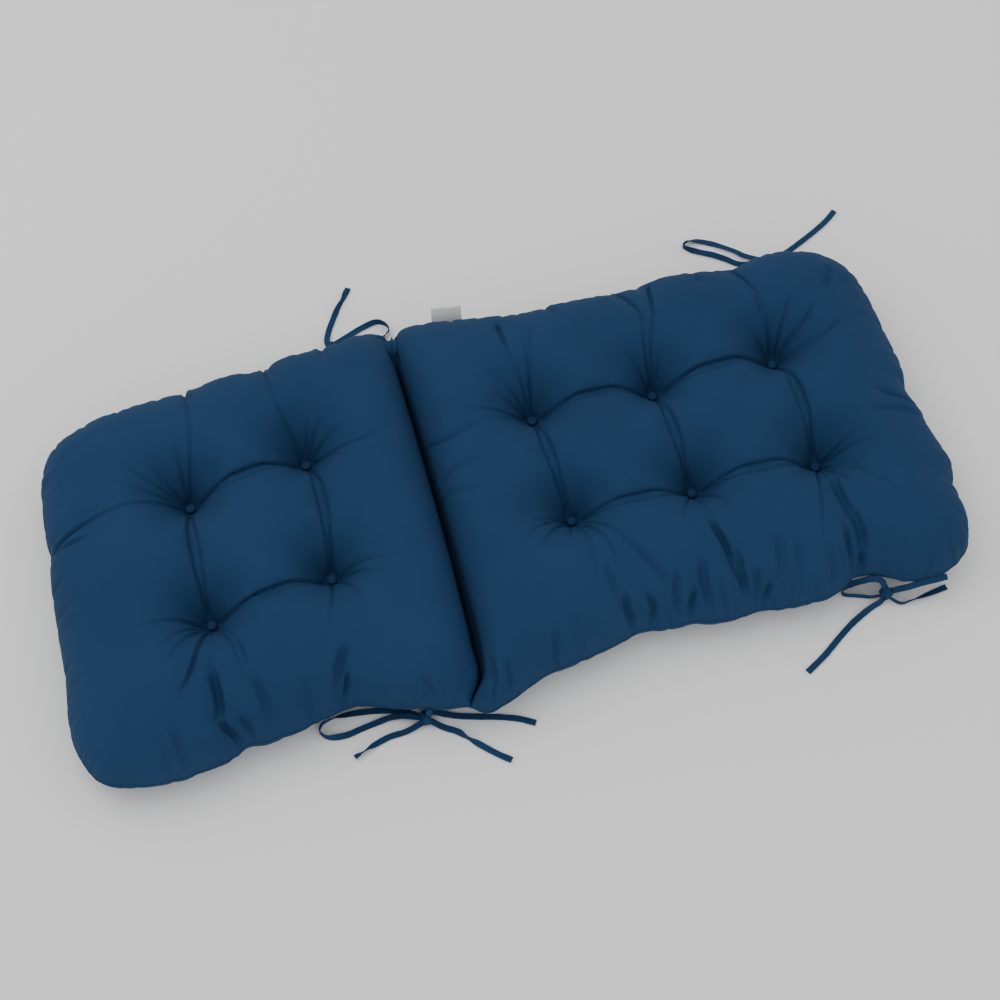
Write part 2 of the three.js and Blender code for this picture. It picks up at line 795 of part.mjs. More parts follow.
const cloth = new THREE.MeshStandardMaterial({ color: CLOTH_BLUE, roughness: 0.85, metalness: 0 });
const tape = new THREE.MeshStandardMaterial({ color: CLOTH_BLUE, roughness: 0.85, metalness: 0 });
const labelCloth = new THREE.MeshStandardMaterial({ color: LABEL_WHITE, roughness: 0.7, metalness: 0 });

function addMesh(parent, name, geometry, material) {
  const mesh = new THREE.Mesh(geometry, material);
  mesh.name = name;
  parent.add(mesh);
  return mesh;
}

function cushionGeometry() {
  const body = cushionBody();
  let solid = toSolid(body.positions, body.faces);
  for (const tuft of tuftPoints) solid = solid.subtract(solidOf(buttonSeat(tuft)));
  return geometryOf(solid);
}

const group = new THREE.Group();
addMesh(group, "cushion", cushionGeometry(), cloth);

for (const [name, tuft] of Object.entries(TUFTS)) {
  const button = addMesh(group, `button_${name}`, buttonGeometry(), cloth);
  button.position.set(tuft.x, tuft.y, BUTTON_SEAT_HEIGHT);
}

for (const [name, route] of Object.entries(TAPES)) {
  addMesh(group, name, tapeGeometry(route), tape);
}

for (const [name, place] of Object.entries(KNOTS)) {
  const knot = addMesh(group, name, knotGeometry(place), tape);
  knot.position.set(place.x, place.y, place.z);
}

const label = addMesh(group, "care_label", labelGeometry(), labelCloth);
label.position.set(LABEL_PLACE.x, LABEL_PLACE.y, LABEL_PLACE.z);
label.rotation.z = THREE.MathUtils.degToRad(LABEL_PLACE.turn);

export default group;
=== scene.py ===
"""Looks of the tufted high back chair cushion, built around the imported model, in metres."""

import math
from collections import namedtuple

import bpy
import numpy as np
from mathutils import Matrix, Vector
from mathutils.kdtree import KDTree


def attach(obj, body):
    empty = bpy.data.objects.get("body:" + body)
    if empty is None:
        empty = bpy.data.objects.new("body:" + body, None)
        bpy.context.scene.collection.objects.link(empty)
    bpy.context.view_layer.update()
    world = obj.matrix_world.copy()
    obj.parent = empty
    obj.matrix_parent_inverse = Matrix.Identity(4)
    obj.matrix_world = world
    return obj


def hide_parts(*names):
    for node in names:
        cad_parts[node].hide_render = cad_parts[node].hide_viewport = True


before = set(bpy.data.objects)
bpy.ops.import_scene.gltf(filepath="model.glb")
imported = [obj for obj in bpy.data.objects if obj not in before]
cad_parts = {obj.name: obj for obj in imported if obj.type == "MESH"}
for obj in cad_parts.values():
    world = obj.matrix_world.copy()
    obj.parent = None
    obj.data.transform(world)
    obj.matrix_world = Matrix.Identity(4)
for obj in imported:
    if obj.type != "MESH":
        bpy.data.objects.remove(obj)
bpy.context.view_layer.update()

# Camera
TARGET = Vector((0.0044, -0.0088, 0.0492))
DISTANCE = 2.4575
AZIMUTH = -16.0
ELEVATION = 60.0
LENS = 75.42
SENSOR = 36.0

# Stage, its lights with their place, size and power
FLOOR_SIZE = 6.0
FLOOR_DROP = 0.0006
WORLD_STRENGTH = 0.92
LIGHTS = [
    ("overhead", (-0.9, 0.7, 2.2), 1.6, 12),
    ("front", (-0.3, -2.2, 1.6), 1.6, 3),
]

# Width of a yarn, and the colours of cloth and label
YARN = 0.00055
CLOTH_DARK = (0.0118, 0.0392, 0.0970)
CLOTH_LIGHT = (0.0150, 0.0485, 0.1180)
LABEL_DARK = (0.74, 0.74, 0.72)
LABEL_LIGHT = (0.86, 0.86, 0.84)

# Noises, their scale and detail, and bumps, their strength and distance
PATCHES = (9.0, 3.0)
SLUBS = (900.0, 2.0)
FIBRES = (700.0, 2.0)
CLOTH_BUMP = (0.35, 0.00025)
LABEL_BUMP = (0.2, 0.0001)

# Heights of the cushion
SEAM_HEIGHT = 0.037
CROWN_HEIGHT = 0.106
BUTTON_SEAT_HEIGHT = 0.044
HINGE_TOP = 0.045
HINGE_UNDERSIDE = 0.024

# How deep the weight of the cushion presses its underside flat
UNDER_PRESSED = 0.0009

# Rounded shoulders, seen from above
TOP_SHOULDER = 0.092
UNDER_SHOULDER = 0.066
HINGE_SHOULDER = 0.050
UNDER_HINGE_SHOULDER = 0.048

# Buttons, their profile as shares of radius and thickness, and the tufts that they hold, above and below
BUTTON_RADIUS = 0.0062
BUTTON_THICKNESS = 0.0054
BUTTON_TURNS = 40
BUTTON_PROFILE = [
    (0.40, 0.80), (0.66, 0.78), (0.83, 0.73), (0.94, 0.60),
    (0.99, 0.40), (1.0, 0.22), (0.95, 0.06), (0.80, 0.0),
]
BUTTON_SHARE = 0.96
BUTTON_ROOM = 0.0003
PLEAT_DEPTH = 0.018
PLEAT_START = 0.6
TUFT_DEPTH = 0.060
TUFT_RADIUS = 0.078
TUFT_POWER = 2.1
UNDER_DENT_DEPTH = 0.007
UNDER_DENT_RADIUS = 0.040

# Cloth grid: its reach from the fold line and to each side, how far in from the edge it starts in cells,
# how much of the mesh is kept, and the rim of the underside that keeps its full detail
SPACING = 0.0018
EDGE_SPACING = 0.002
GRID_REACH = (-0.475, 0.62)
GRID_SIDE = 0.272
CELL_SHARE = 0.35
MESH_SHARE = 0.54
UNDERSIDE_RIM = 0.012

# Tie tapes
TAPE_WIDTH = 0.0075
TAPE_THICKNESS = 0.0013
TAPE_STEP = 0.0016
TAPE_WAVES = (150, 330, 610)
STITCH_INSET = 0.0013
STITCH_PITCH = 0.0028
STITCH_HALF = 0.0003
TAPE_WAVER = 0.035
TAPE_CUP = 0.10
HEM_LENGTH = 0.007
HEM_STEP = 0.001
HEM_THICKNESS = 1.7

# The model's own tapes: their thickness, their room to the floor, and how deep they run into a knot
SOLID_THICKNESS = 0.0016
FLOOR_CLEARANCE = 0.0006
KNOT_SINK = 0.7

# Knots: their core as shares of the half sizes, and the bands wound round it
KNOT_CORE = (0.92, 0.84)
KNOT_RINGS = 12
KNOT_TURNS = 24
BAND_WIDTH = 0.0066
BAND_BULGE = 0.02
BAND_TURNS = 48

# Care label: width, rise and lean of the folded tape, its corner by the fold line and its turn in degrees
LABEL_WIDTH = 0.037
LABEL_RISE = 0.027
LABEL_LEAN = 0.014
LABEL_CORNER = (-0.007, 0.2541, 0.036)
LABEL_TURN = -7.5
LABEL_THICKNESS = 0.00025
LABEL_CELLS = (24, 14)

# Edge seam: its section outward and upward, and its waves up and down: rates along x and y, phase, share
SEAM_SECTION = [
    (0.0010, 0), (0.0006, 0.0006), (-0.0010, 0.0009), (-0.0030, 0.0003),
    (-0.0030, -0.0003), (-0.0010, -0.0009), (0.0006, -0.0006),
]
SEAM_WANDER = 0.0012
SEAM_WAVES = [(38, 21, 0, 1), (71, -47, 1.3, 0.7), (133, 118, 0.4, 0.5)]

# Stitched fold line, and the middles of seat and back along x
HINGE_POINTS = [(-0.098, -0.250), (-0.079, -0.063), (-0.067, 0.118), (-0.060, 0.250)]
SEAT_MIDDLE = -0.29
BACK_MIDDLE = 0.23

TUFTS = {
    "seatFar1": (-0.347, 0.081),
    "seatFar2": (-0.203, 0.101),
    "seatNear1": (-0.355, -0.076),
    "seatNear2": (-0.210, -0.056),
    "backFar1": (0.072, 0.087),
    "backFar2": (0.222, 0.081),
    "backFar3": (0.376, 0.084),
    "backNear1": (0.077, -0.058),
    "backNear2": (0.224, -0.061),
    "backNear3": (0.376, -0.067),
}

# Knots: centre, then half sizes along the edge, across it and upwards
KNOTS = {
    "near_seat": ((-0.148, -0.236, 0.009), (0.0055, 0.009, 0.0075)),
    "near_back": ((0.4076, -0.232, 0.012), (0.007, 0.008, 0.009)),
    "far_seat": ((-0.131, 0.283, 0.009), (0.007, 0.007, 0.0075)),
    "far_back": ((0.430, 0.258, 0.0095), (0.007, 0.007, 0.008)),
}

# Tails at each knot; the first runs on from the tape's root through the knot
TAILS = {
    "near_seat": ("tail_right", "tail_left", "tail_front"),
    "near_back": ("tail_left", "tail_right"),
    "far_seat": ("tail",),
    "far_back": ("tail",),
}

# Tape routes, columns x, y, height and roll in degrees, in millimetres as in the model's source
TAPES = {
    "near_seat_root": [
        (-144, -240, 36, 0), (-144, -239.8, 29, 0), (-144, -239.3, 21, 0), (-144, -237, 15, 0),
    ],
    "near_seat_loop": [
        (-156.5, -230.5, 9, 0), (-173, -217, 2, 0), (-195, -210, 0, 0), (-217, -206, 0, 0),
        (-234, -205, 0, 20), (-249, -206, 0, 70), (-262, -209.5, 0, 90), (-266.6, -217, 0, 90),
        (-261, -226, 0, 80), (-240, -229, 0, 10), (-221, -226, 0, 0), (-203, -223.5, 0, 0),
        (-185, -223, 5, 0), (-170, -228, 10, 0), (-156.5, -235.5, 14, 0),
    ],
    "near_seat_tail_left": [
        (-154, -243, 6, 0), (-173, -243, 0, 0), (-191.6, -244, 0, 0), (-210.6, -249, 0, 10),
        (-223, -254, 0, 65), (-236, -258, 0, 30),
    ],
    "near_seat_tail_front": [
        (-142.5, -241, 6, 0), (-130, -250, 0, 0), (-117, -259.5, 0, 20), (-108, -271, 0, 85),
        (-95, -283.5, 0, 15), (-80.7, -297.7, 0, 0), (-67.7, -309, 0, 0),
    ],
    "near_seat_tail_right": [
        (-140, -232, 11, 0), (-126, -235.5, 5, 0), (-113, -240, 0, 0), (-98.6, -245, 0, 0),
        (-66, -255, 0, 0), (-45, -263.4, 0, 0), (-29, -273, 0, 0),
    ],
    "near_back_root": [
        (476, -241.4, 34.5, -30), (461, -241.8, 35, -30), (445, -240.4, 33, -30), (431, -238, 26, -30),
        (420, -234, 18, -30),
    ],
    "near_back_loop": [
        (407, -228.5, 22, -30), (402, -223.5, 30, -30), (392, -219.8, 33, -30), (381, -216.5, 27, -30),
        (373, -212.6, 18, -45), (366.5, -210.6, 9, -70), (362, -212, 1, -90), (361.6, -216.2, 0, -90),
        (365.5, -219, 0, -90), (373, -221.6, 0, -90), (382, -225, 0, -90), (391, -228.6, 0, -85),
        (401, -232, 7, -80),
    ],
    "near_back_tail_right": [
        (411, -239, 6, -80), (422, -246, 0, -85), (435, -246, 0, -75), (456, -243.4, 0, -30),
        (482, -239.2, 0, 0),
    ],
    "near_back_tail_left": [
        (401, -237.5, 6, -50), (387, -241.5, 0, -40), (361.7, -252.5, 0, 0), (339.4, -266.3, 0, 0),
        (314.7, -283.2, 0, 0), (288.4, -298.1, 0, 0),
    ],
    "far_seat_root": [
        (-131, 258.1, 36, 0), (-131, 258.9, 29, 0), (-131, 265, 20, 0), (-131, 275, 13, 0),
    ],
    "far_seat_loop": [
        (-123, 286, 14, 0), (-106, 298, 3, 0), (-83, 307, 0, 10), (-66, 308, 0, 60),
        (-56.5, 301, 0, 90), (-54.5, 293, 0, 90), (-61, 286, 0, 60), (-78, 281, 0, 0),
        (-99, 279, 0, 0), (-121, 279.5, 3, 0),
    ],
    "far_seat_tail": [
        (-134, 291.5, 7, 0), (-129, 310, 0, 0), (-118, 329, 0, 0), (-108, 343, 0, 45),
        (-101, 351, 0, 70), (-94, 362, 0, 25), (-88.3, 370, 0, 0),
    ],
    "far_back_root": [
        (430, 238.9, 36, 0), (430, 239.6, 29, 0), (430, 244, 21, 0), (430, 251, 14, 0),
    ],
    "far_back_loop": [
        (424, 266, 14, 0), (412, 279, 4, 0), (405, 289, 0, 15), (392, 300, 0, 15),
        (379, 310, 0, 0), (360.4, 318.9, 0, 20), (348, 319, 0, 80), (342.3, 314.3, 0, 90),
        (347, 308, 0, 70), (361, 300.4, 0, 10), (374, 291.6, 0, 30), (388.5, 281, 0, 20),
        (400.8, 271, 0, 0), (420, 259, 3, 0),
    ],
    "far_back_tail": [
        (439, 260, 8, 0), (451, 264, 2, 0), (470, 271, 0, 0), (492, 281, 0, 0),
        (516, 293, 0, 0), (535, 304, 0, 0), (550.4, 315.8, 0, 0),
    ],
}

# The tables of folds are in millimetres

# Folds pinched between two buttons: how far the middle of the sharper line and of the fainter one
# lie to the side of the straight line, towards the far edge or the top of the back
PINCHES = [
    ("seatFar1", "seatFar2", -6, -13),
    ("seatNear1", "seatNear2", -9, -15),
    ("seatFar1", "seatNear1", -5, 1),
    ("seatFar2", "seatNear2", 10, 4),
    ("backFar1", "backFar2", -6, -12),
    ("backFar2", "backFar3", -6, -13),
    ("backNear1", "backNear2", -19, -12),
    ("backNear2", "backNear3", -15, -7),
    ("backFar1", "backNear1", -8, -2),
    ("backFar2", "backNear2", -7, -1),
    ("backFar3", "backNear3", 4, -2),
]

# Long folds from a button to the edge or the fold line: the points they pass, the side of their ridge,
# and the strength of their valley and of their line
LONG_FOLDS = [
    ("seatFar1", [(-325, 155), (-322, 245)], 1, 0.8, 0.7),
    ("seatFar1", [(-430, 71), (-507, 60)], -1, 0.8, 0.8),
    ("seatFar2", [(-221, 165), (-224, 248)], 1, 0.8, 0.7),
    ("seatNear1", [(-358, -110), (-366, -156), (-366, -192), (-368, -216)], 1, 1.4, 0.25),
    ("backFar1", [(68, 117), (62, 148), (62, 202)], -1, 1.0, 0.7),
    ("backFar1", [(47, 79), (-4, 67), (-42, 60), (-61, 70)], 1, 0.7, 0.5),
    ("backFar2", [(223, 124), (230, 167), (217, 220)], 1, 1.1, 0.8),
    ("backFar2", [(231, 124), (245, 160), (258, 215)], -1, 1.1, 0.8),
    ("backFar3", [(378, 124), (376, 154), (364, 210)], 1, 1.1, 0.9),
    ("backNear2", [(222, -120), (227, -164), (234, -200), (252, -224)], 1, 1.5, 0.3),
    ("backNear2", [(206, -130), (196, -173), (190, -222)], -1, 0.7, 0.2),
    ("backNear3", [(371, -110), (373, -150), (382, -185), (377, -220)], 1, 1.4, 0.3),
]

# Folds from a button that die out on a pillow, with the same columns
PILLOW_FOLDS = [
    ("seatNear1", [(-387, -149), (-421, -197)], -1, 1.1, 0.8),
    ("seatNear1", [(-334, -123), (-327, -152), (-336, -186)], 1, 0.8, 0.5),
    ("backFar1", [(81, 142), (88, 182)], 1, 0.6, 0.5),
    ("backFar3", [(394, 94), (423, 108), (450, 134)], -1, 0.9, 0.7),
    ("backFar3", [(398, 78), (431, 76), (482, 103)], 1, 0.7, 0.5),
    ("backNear1", [(77, -131), (75, -184)], 1, 0.7, 0.4),
    ("backNear3", [(403, -103), (444, -155)], 1, 0.9, 0.6),
]

# Creases that start and end on a pillow: the points they pass, the side of their ridge, their strength and
# the half width of their line
CREASES = [
    ([(-366, -150), (-366, -192), (-374, -210)], 1, 1.3, 3.6),
    ([(-372, -204), (-366, -216), (-357, -225), (-349, -232)], 1, 1.7, 3.4),
    ([(-353, -206), (-343, -218), (-338, -230)], -1, 0.9, 2.4),
    ([(-327, -168), (-318, -200), (-318, -226)], 1, 0.8, 4.4),
    ([(-213, -160), (-231, -186), (-237, -207)], -1, 1.0, 4.2),
    ([(-221, -186), (-228, -204), (-241, -218)], 1, 1.3, 2.4),
    ([(216, -118), (225, -158), (230, -196)], 1, 1.3, 2.8),
    ([(235, -162), (235, -196), (241, -222)], 1, 1.3, 3.8),
    ([(258, -192), (250, -208), (251, -228)], -1, 1.0, 4.4),
    ([(270, -208), (260, -218), (250, -230)], 1, 1.3, 2.6),
    ([(197, -165), (191, -195), (194, -224)], 1, 1.0, 4.2),
    ([(185, -194), (172, -209), (173, -226)], -1, 1.2, 3.4),
    ([(167, -172), (158, -197), (156, -220)], 1, 0.9, 4.4),
    ([(99, -180), (101, -204), (110, -221)], 1, 1.2, 3.6),
    ([(122, -186), (129, -203), (117, -220)], -1, 1.1, 3.0),
    ([(380, -94), (373, -135), (381, -172)], 1, 1.1, 3.4),
    ([(378, -152), (384, -181), (383, -202)], 1, 1.1, 3.8),
    ([(369, -168), (366, -191), (370, -217)], -1, 1.1, 3.6),
    ([(382, -194), (379, -210), (368, -222)], 1, 1.5, 2.6),
    ([(290, -155), (284, -190), (276, -226)], 1, 0.7, 6.0),
    ([(308, -170), (304, -196), (301, -222)], -1, 0.5, 4.6),
    ([(112, -110), (137, -160), (158, -194)], 1, 0.5, 2.8),
    ([(87, -135), (89, -169), (95, -198)], -1, 0.5, 3.4),
    ([(-68, -208), (-68, -236), (-74, -262)], 1, 1.1, 3.4),
    ([(-52, -214), (-50, -238), (-56, -262)], -1, 0.8, 3.4),
    ([(-146, -212), (-136, -232), (-128, -246)], 1, 0.7, 3.6),
]

# Short folds that fan out from each button and fade: direction in degrees, length and sideways bend
FANS = {
    "seatFar1": [(86, 70, 3), (121, 72, 6), (132, 60, 2), (143, 92, 5), (163, 92, 4), (190, 50, 0)],
    "seatFar2": [(118, 50, 0), (70, 45, 0), (47, 50, 2), (14, 58, 3), (-4, 112, -12), (-33, 66, 2)],
    "seatNear2": [(-4, 45, 0), (-17, 82, 3), (-37, 76, 4), (-71, 90, 4), (-104, 105, 4)],
    "seatNear1": [(190, 86, -4), (214, 84, -3), (229, 96, -3), (-80, 122, 7), (-66, 75, 3)],
    "backFar1": [(150, 55, 0), (136, 92, -6), (124, 70, 0), (177, 100, 4), (99, 72, -2), (72, 120, 6)],
    "backFar2": [(118, 55, 0), (62, 50, 0)],
    "backFar3": [(100, 100, -6), (122, 50, 0), (52, 85, 4), (20, 70, 2), (-6, 74, 0)],
    "backNear3": [(-12, 80, 3), (10, 60, 0), (-56, 122, 8), (-76, 70, 0), (-106, 136, -6)],
    "backNear2": [(-68, 70, 3), (-118, 80, -3)],
    "backNear1": [
        (212, 96, -4), (228, 92, -4), (196, 60, 0), (-91, 112, 4), (-76, 116, 4), (-62, 120, 4), (250, 60, 0),
    ],
}

# Puckers from a faint start on a pillow to the edge or to the fold line, and their strength
PUCKERS = [
    ((-205, 175), (-218, 243), 0.6), ((-318, 180), (-327, 240), 0.8), ((-450, 46), (-510, 57), 1.0),
    ((6, 17), (-58, 15), 0.5), ((-10, -20), (-62, -5), 0.45), ((450, -3), (508, -28), 0.8),
    ((423, -45), (500, -47), 0.5), ((20, -195), (4, -242), 0.9), ((340, -175), (337, -232), 0.7),
    ((213, -185), (212, -230), 0.7), ((-275, -175), (-272, -225), 0.6), ((-420, -190), (-416, -246), 0.7),
    ((-150, 200), (-146, 256), 0.8), ((130, 185), (128, 232), 0.8), ((320, 180), (318, 226), 0.8),
    ((446, 130), (475, 168), 0.6),
]
PUCKER_BOW = 0.003

# Depth and half width of the folds
PINCH_VALLEY = (0.014, 0.030)
PINCH_LINE = (0.0062, 0.0016)
PINCH_SHARE = 0.75
LONG_VALLEY = (0.009, 0.022)
LONG_LINE = (0.0056, 0.0018)
CREASE_VALLEY = (0.004, 0.013)
CREASE_LINE = 0.0056
FAN_VALLEY = (0.0035, 0.015)
FAN_LINE = (0.0040, 0.0016)
PUCKER_VALLEY = (0.005, 0.014)
PUCKER_LINE = (0.0040, 0.0034)

# Form of the folds: steepness, how a fan's line widens, how far a line reaches in half widths, where it is
# quiet at a button and by the edge, and the ridge beside it
VALLEY_POWER = 1.6
FOLD_SHARPNESS = 1.5
FAN_WIDENING = (0.75, 0.7)
LINE_REACH = 5
FROM_BUTTON = (0.9 * BUTTON_RADIUS, 0.011)
FROM_EDGE = 2.5
RIDGE_SHARE = 0.5
RIDGE_OFFSET = 2.0

# Cloth drawn in towards the fine lines: share, reach, and the widest line that counts as fine
DRAW_IN = 0.8
DRAW_REACH = 0.0065
LEAST_UP = 0.35
FINE_LINE = 0.0025

# How a fold fades along its line: what it has lost at its end, the shares of the way between which it sets
# in and between which it dies out, and what it loses in the middle
FADES = {
    "none": (0, (-1, 0), (1, 2), 0),
    "broken": (0, (-1, 0), (1, 2), 0.6),
    "end": (0.35, (-1, 0), (0.55, 1), 0),
    "both": (0, (0, 0.4), (0.6, 1.25), 0),
    "out": (0.85, (-1, 0), (0.7, 1), 0),
    "in": (0, (0, 0.6), (1, 2), 0),
}

# Gathers all along the edge seam
GATHER_PITCH = (0.007, 0.042)
GATHER_LENGTH = (0.010, 0.046)
GATHER_DEPTH = (0.0004, 0.0024)
GATHER_SLANT = (-0.4, 0.4)
GATHER_WIDTH = (0.0020, 0.0040)
GATHER_SPREAD = 0.08
GATHER_START = 0.002
GATHER_NOTCH = 0.5
EDGE_SMOOTHING = 3
UNDER_GATHERS = 0.5

# Softening of the settled and folded cover
SETTLED_SOFTENING = 0.05
FOLD_SOFTENING = 0.03
UNDER_SOFTENING = 0.2
UNDER_SMOOTHING = 2

# Slight unevenness of filling and cover
WAVE_COUNT = 26
WAVE_LENGTH = (0.018, 0.070)
WAVE_HEIGHT = 0.0022
WAVE_FROM_EDGE = 0.05
WAVE_FROM_FOLD = 0.03

# Open crevice at the fold line: half its width at its far and near end, and how its top leans over
CREVICE = (0.0028, 0.0062)
CREVICE_END = 0.06
CREVICE_HOLD = 0.5
UNDER_CREVICE = 0.8
FOLD_LINE_HALF = 0.25
HINGE_END_LIFT = 0.022
HINGE_END_AT = 0.232
HINGE_END_WIDTH = 0.022
LEAN_START = 0.13
LEAN_RATE = 0.048
LEAN_LIMITS = (-0.005, 0.018)
LEAN_REACH = 0.10

# Relaxation of the cover
RELAX_STEPS = 160
UNDER_STEPS = 60
FILL_PUSH = 0.00012
FILL_GIVE = 0.003
FILL_LIMITS = (-0.5, 1)
FORM_HOLD = 0.3
LOOK_EVERY = 5
BEND = 0.010
SQUEEZE = 0.7
DAMPING = 0.9
TOP_SPEED = 0.0015
SEAM_SPARE = 0.02
SEAM_SPARE_REACH = 0.07
SLACK = 0.002
SLACK_FROM_TUFT = (0.008, 0.040)
TUFT_HOLD = 1.2
EDGE_BAND = 0.05
EDGE_INSET = 0.0005
NEAR_EDGE = 0.03

Fold = namedtuple("Fold", "line valley sharp fade ridge")


def smooth(start, end, value):
    """0 before start, 1 after end, smoothly between; works in both directions."""
    t = np.clip((value - start) / (end - start), 0, 1)
    return t * t * (3 - 2 * t)


def shoulder(distance, width):
    """Rise of a rounded shoulder, a quarter of an ellipse."""
    left = 1 - np.minimum(np.maximum(distance, 0) / width, 1)
    return np.sqrt(1 - left * left)


def metres(millimetres):
    return np.asarray(millimetres, float) / 1000


def unit(vectors):
    return vectors / np.linalg.norm(vectors, axis=1)[:, None]


def outward_of(edge):
    """Directions that point out of a closed line that runs anticlockwise."""
    tangent = np.roll(edge, -1, 0) - np.roll(edge, 1, 0)
    return unit(np.stack([tangent[:, 1], -tangent[:, 0]], 1))


def full_turn(count):
    return 2 * math.pi * np.arange(count) / count


def make_camera():
    azimuth, elevation = math.radians(AZIMUTH), math.radians(ELEVATION)
    back = Vector((
        math.sin(azimuth) * math.cos(elevation),
        -math.cos(azimuth) * math.cos(elevation),
        math.sin(elevation),
    ))
    data = bpy.data.cameras.new("camera")
    data.lens = LENS
    data.sensor_width = SENSOR
    data.clip_end = 20
    camera = bpy.data.objects.new("camera", data)
    camera.location = TARGET + back * DISTANCE
    camera.rotation_euler = back.to_track_quat("Z", "Y").to_euler()
    bpy.context.scene.collection.objects.link(camera)
    bpy.context.scene.camera = camera


# Meshes


def new_object(name, points, faces, material, uvs=None):
    """A mesh object with smooth faces; uvs has one pair for each point."""
    mesh = bpy.data.meshes.new(name)
    mesh.from_pydata([tuple(p) for p in points], [], [tuple(f) for f in faces])
    mesh.validate()
    mesh.polygons.foreach_set("use_smooth", [True] * len(mesh.polygons))
    if uvs is not None:
        layer = mesh.uv_layers.new(name="cloth")
        corners = np.empty(len(mesh.loops), np.int32)
        mesh.loops.foreach_get("vertex_index", corners)
        layer.data.foreach_set("uv", np.asarray(uvs, np.float32)[corners].ravel())
    mesh.materials.append(material)
    mesh.update()
    piece = bpy.data.objects.new(name, mesh)
    bpy.context.scene.collection.objects.link(piece)
    return piece


def ring_faces(rings, around, first=0, closed=False, wrapped=True, turned=False):
    """Faces between rings of points, which start at the point called first."""
    faces = []
    for i in range(rings if closed else rings - 1):
        here, there = first + i * around, first + (i + 1) % rings * around
        for k in range(around if wrapped else around - 1):
            n = (k + 1) % around
            face = [here + k, here + n, there + n, there + k]
            faces.append(face[:1] + face[:0:-1] if turned else face)
    return faces


def ring_uvs(across, along):
    """UV pairs of rings of points: their places across, and along from ring to ring."""
    return np.dstack(np.broadcast_arrays(across, along[:, None])).reshape(-1, 2)


def apply_modifiers(piece):
    graph = bpy.context.evaluated_depsgraph_get()
    mesh = bpy.data.meshes.new_from_object(piece.evaluated_get(graph))
    piece.modifiers.clear()
    piece.data = mesh


def dress(piece, slot, *nodes):
    """Lets a piece ride on the body and stand for its nodes."""
    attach(piece, "root")
    if nodes:
        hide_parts(*nodes)


# Materials


class Nodes:
    """Short way to make and join the nodes of a material."""

    def __init__(self, name):
        self.material = bpy.data.materials.new(name)
        self.material.use_nodes = True
        self.tree = self.material.node_tree
        self.shader = self.tree.nodes["Principled BSDF"]

    def add(self, kind, **inputs):
        node = self.tree.nodes.new("ShaderNode" + kind)
        self.fill(node, **inputs)
        return node

    def fill(self, node, **inputs):
        """Gives inputs of a node their values, or joins them to outputs."""
        for key, value in inputs.items():
            self.feed(node.inputs[key.replace("_", " ")], value)

    def feed(self, socket, value):
        if isinstance(value, bpy.types.NodeSocket):
            self.tree.links.new(value, socket)
        else:
            socket.default_value = value

    def math(self, operation, *values):
        node = self.add("Math")
        node.operation = operation
        for socket, value in zip(node.inputs, values):
            self.feed(socket, value)
        return node.outputs[0]

    def noise(self, scale, detail):
        place = self.add("TexCoord").outputs["Object"]
        return self.add("TexNoise", Vector=place, Scale=scale, Detail=detail).outputs["Fac"]

    def shade(self, value, dark, light, start=0.0, end=1.0):
        """Base colour that runs from dark to light as the value runs from start to end."""
        ramp = self.add("ValToRGB", Fac=value)
        for stop, position, colour in zip(ramp.color_ramp.elements, (start, end), (dark, light)):
            stop.position = position
            stop.color = (*colour, 1)
        self.fill(self.shader, Base_Color=ramp.outputs["Color"])

    def bump(self, height, strength, distance):
        bump = self.add("Bump", Height=height, Strength=strength, Distance=distance)
        self.fill(self.shader, Normal=bump.outputs["Normal"])


def cloth_material(name, stitched=False):
    """Plain woven dark blue cloth: weave in the bump, faint slubs and shade in the colour, light sheen."""
    n = Nodes(name)
    uv = n.add("UVMap")
    uv.uv_map = "cloth"
    split = n.add("SeparateXYZ", Vector=uv.outputs["UV"])
    across, along = split.outputs["X"], split.outputs["Y"]
    over, under = (n.math("SINE", n.math("MULTIPLY", way, math.pi / YARN)) for way in (across, along))
    weave = n.math("MULTIPLY", over, under)
    patches, slubs = n.noise(*PATCHES), n.noise(*SLUBS)
    mixed = n.math("ADD", n.math("MULTIPLY", patches, 0.6), n.math("MULTIPLY", slubs, 0.4))
    n.shade(mixed, CLOTH_DARK, CLOTH_LIGHT, 0.25, 0.75)
    height = n.math("ADD", n.math("MULTIPLY", weave, 0.5), n.math("MULTIPLY", slubs, 0.7))
    if stitched:
        height = n.math("ADD", height, stitch_line(n, across, along))
    n.bump(height, *CLOTH_BUMP)
    rough = n.math("ADD", n.math("MULTIPLY", slubs, 0.12), 0.72)
    n.fill(n.shader, Roughness=rough, Specular_IOR_Level=0.06)
    n.fill(n.shader, Sheen_Weight=0.02, Sheen_Roughness=0.5, Sheen_Tint=(0.45, 0.65, 0.95, 1))
    return n.material


def stitch_line(n, across, along):
    """Depth of a row of stitches near each edge of a tape, whose UVs are metres across and along."""
    from_middle = n.math("ABSOLUTE", n.math("SUBTRACT", across, TAPE_WIDTH / 2))
    beside = n.math("ABSOLUTE", n.math("SUBTRACT", from_middle, TAPE_WIDTH / 2 - STITCH_INSET))
    groove = n.math("LESS_THAN", beside, STITCH_HALF)
    dashes = n.math("SINE", n.math("MULTIPLY", along, 2 * math.pi / STITCH_PITCH))
    return n.math("MULTIPLY", groove, n.math("MULTIPLY", n.math("SUBTRACT", dashes, 0.9), 1.6))


def label_material():
    n = Nodes("label_white")
    fibres = n.noise(*FIBRES)
    n.shade(fibres, LABEL_DARK, LABEL_LIGHT)
    n.bump(fibres, *LABEL_BUMP)
    n.fill(n.shader, Roughness=0.55)
    return n.material


def floor_material():
    n = Nodes("floor_white")
    n.fill(n.shader, Base_Color=(0.93, 0.93, 0.93, 1), Roughness=0.9, Specular_IOR_Level=0.1)
    return n.material


# Lines


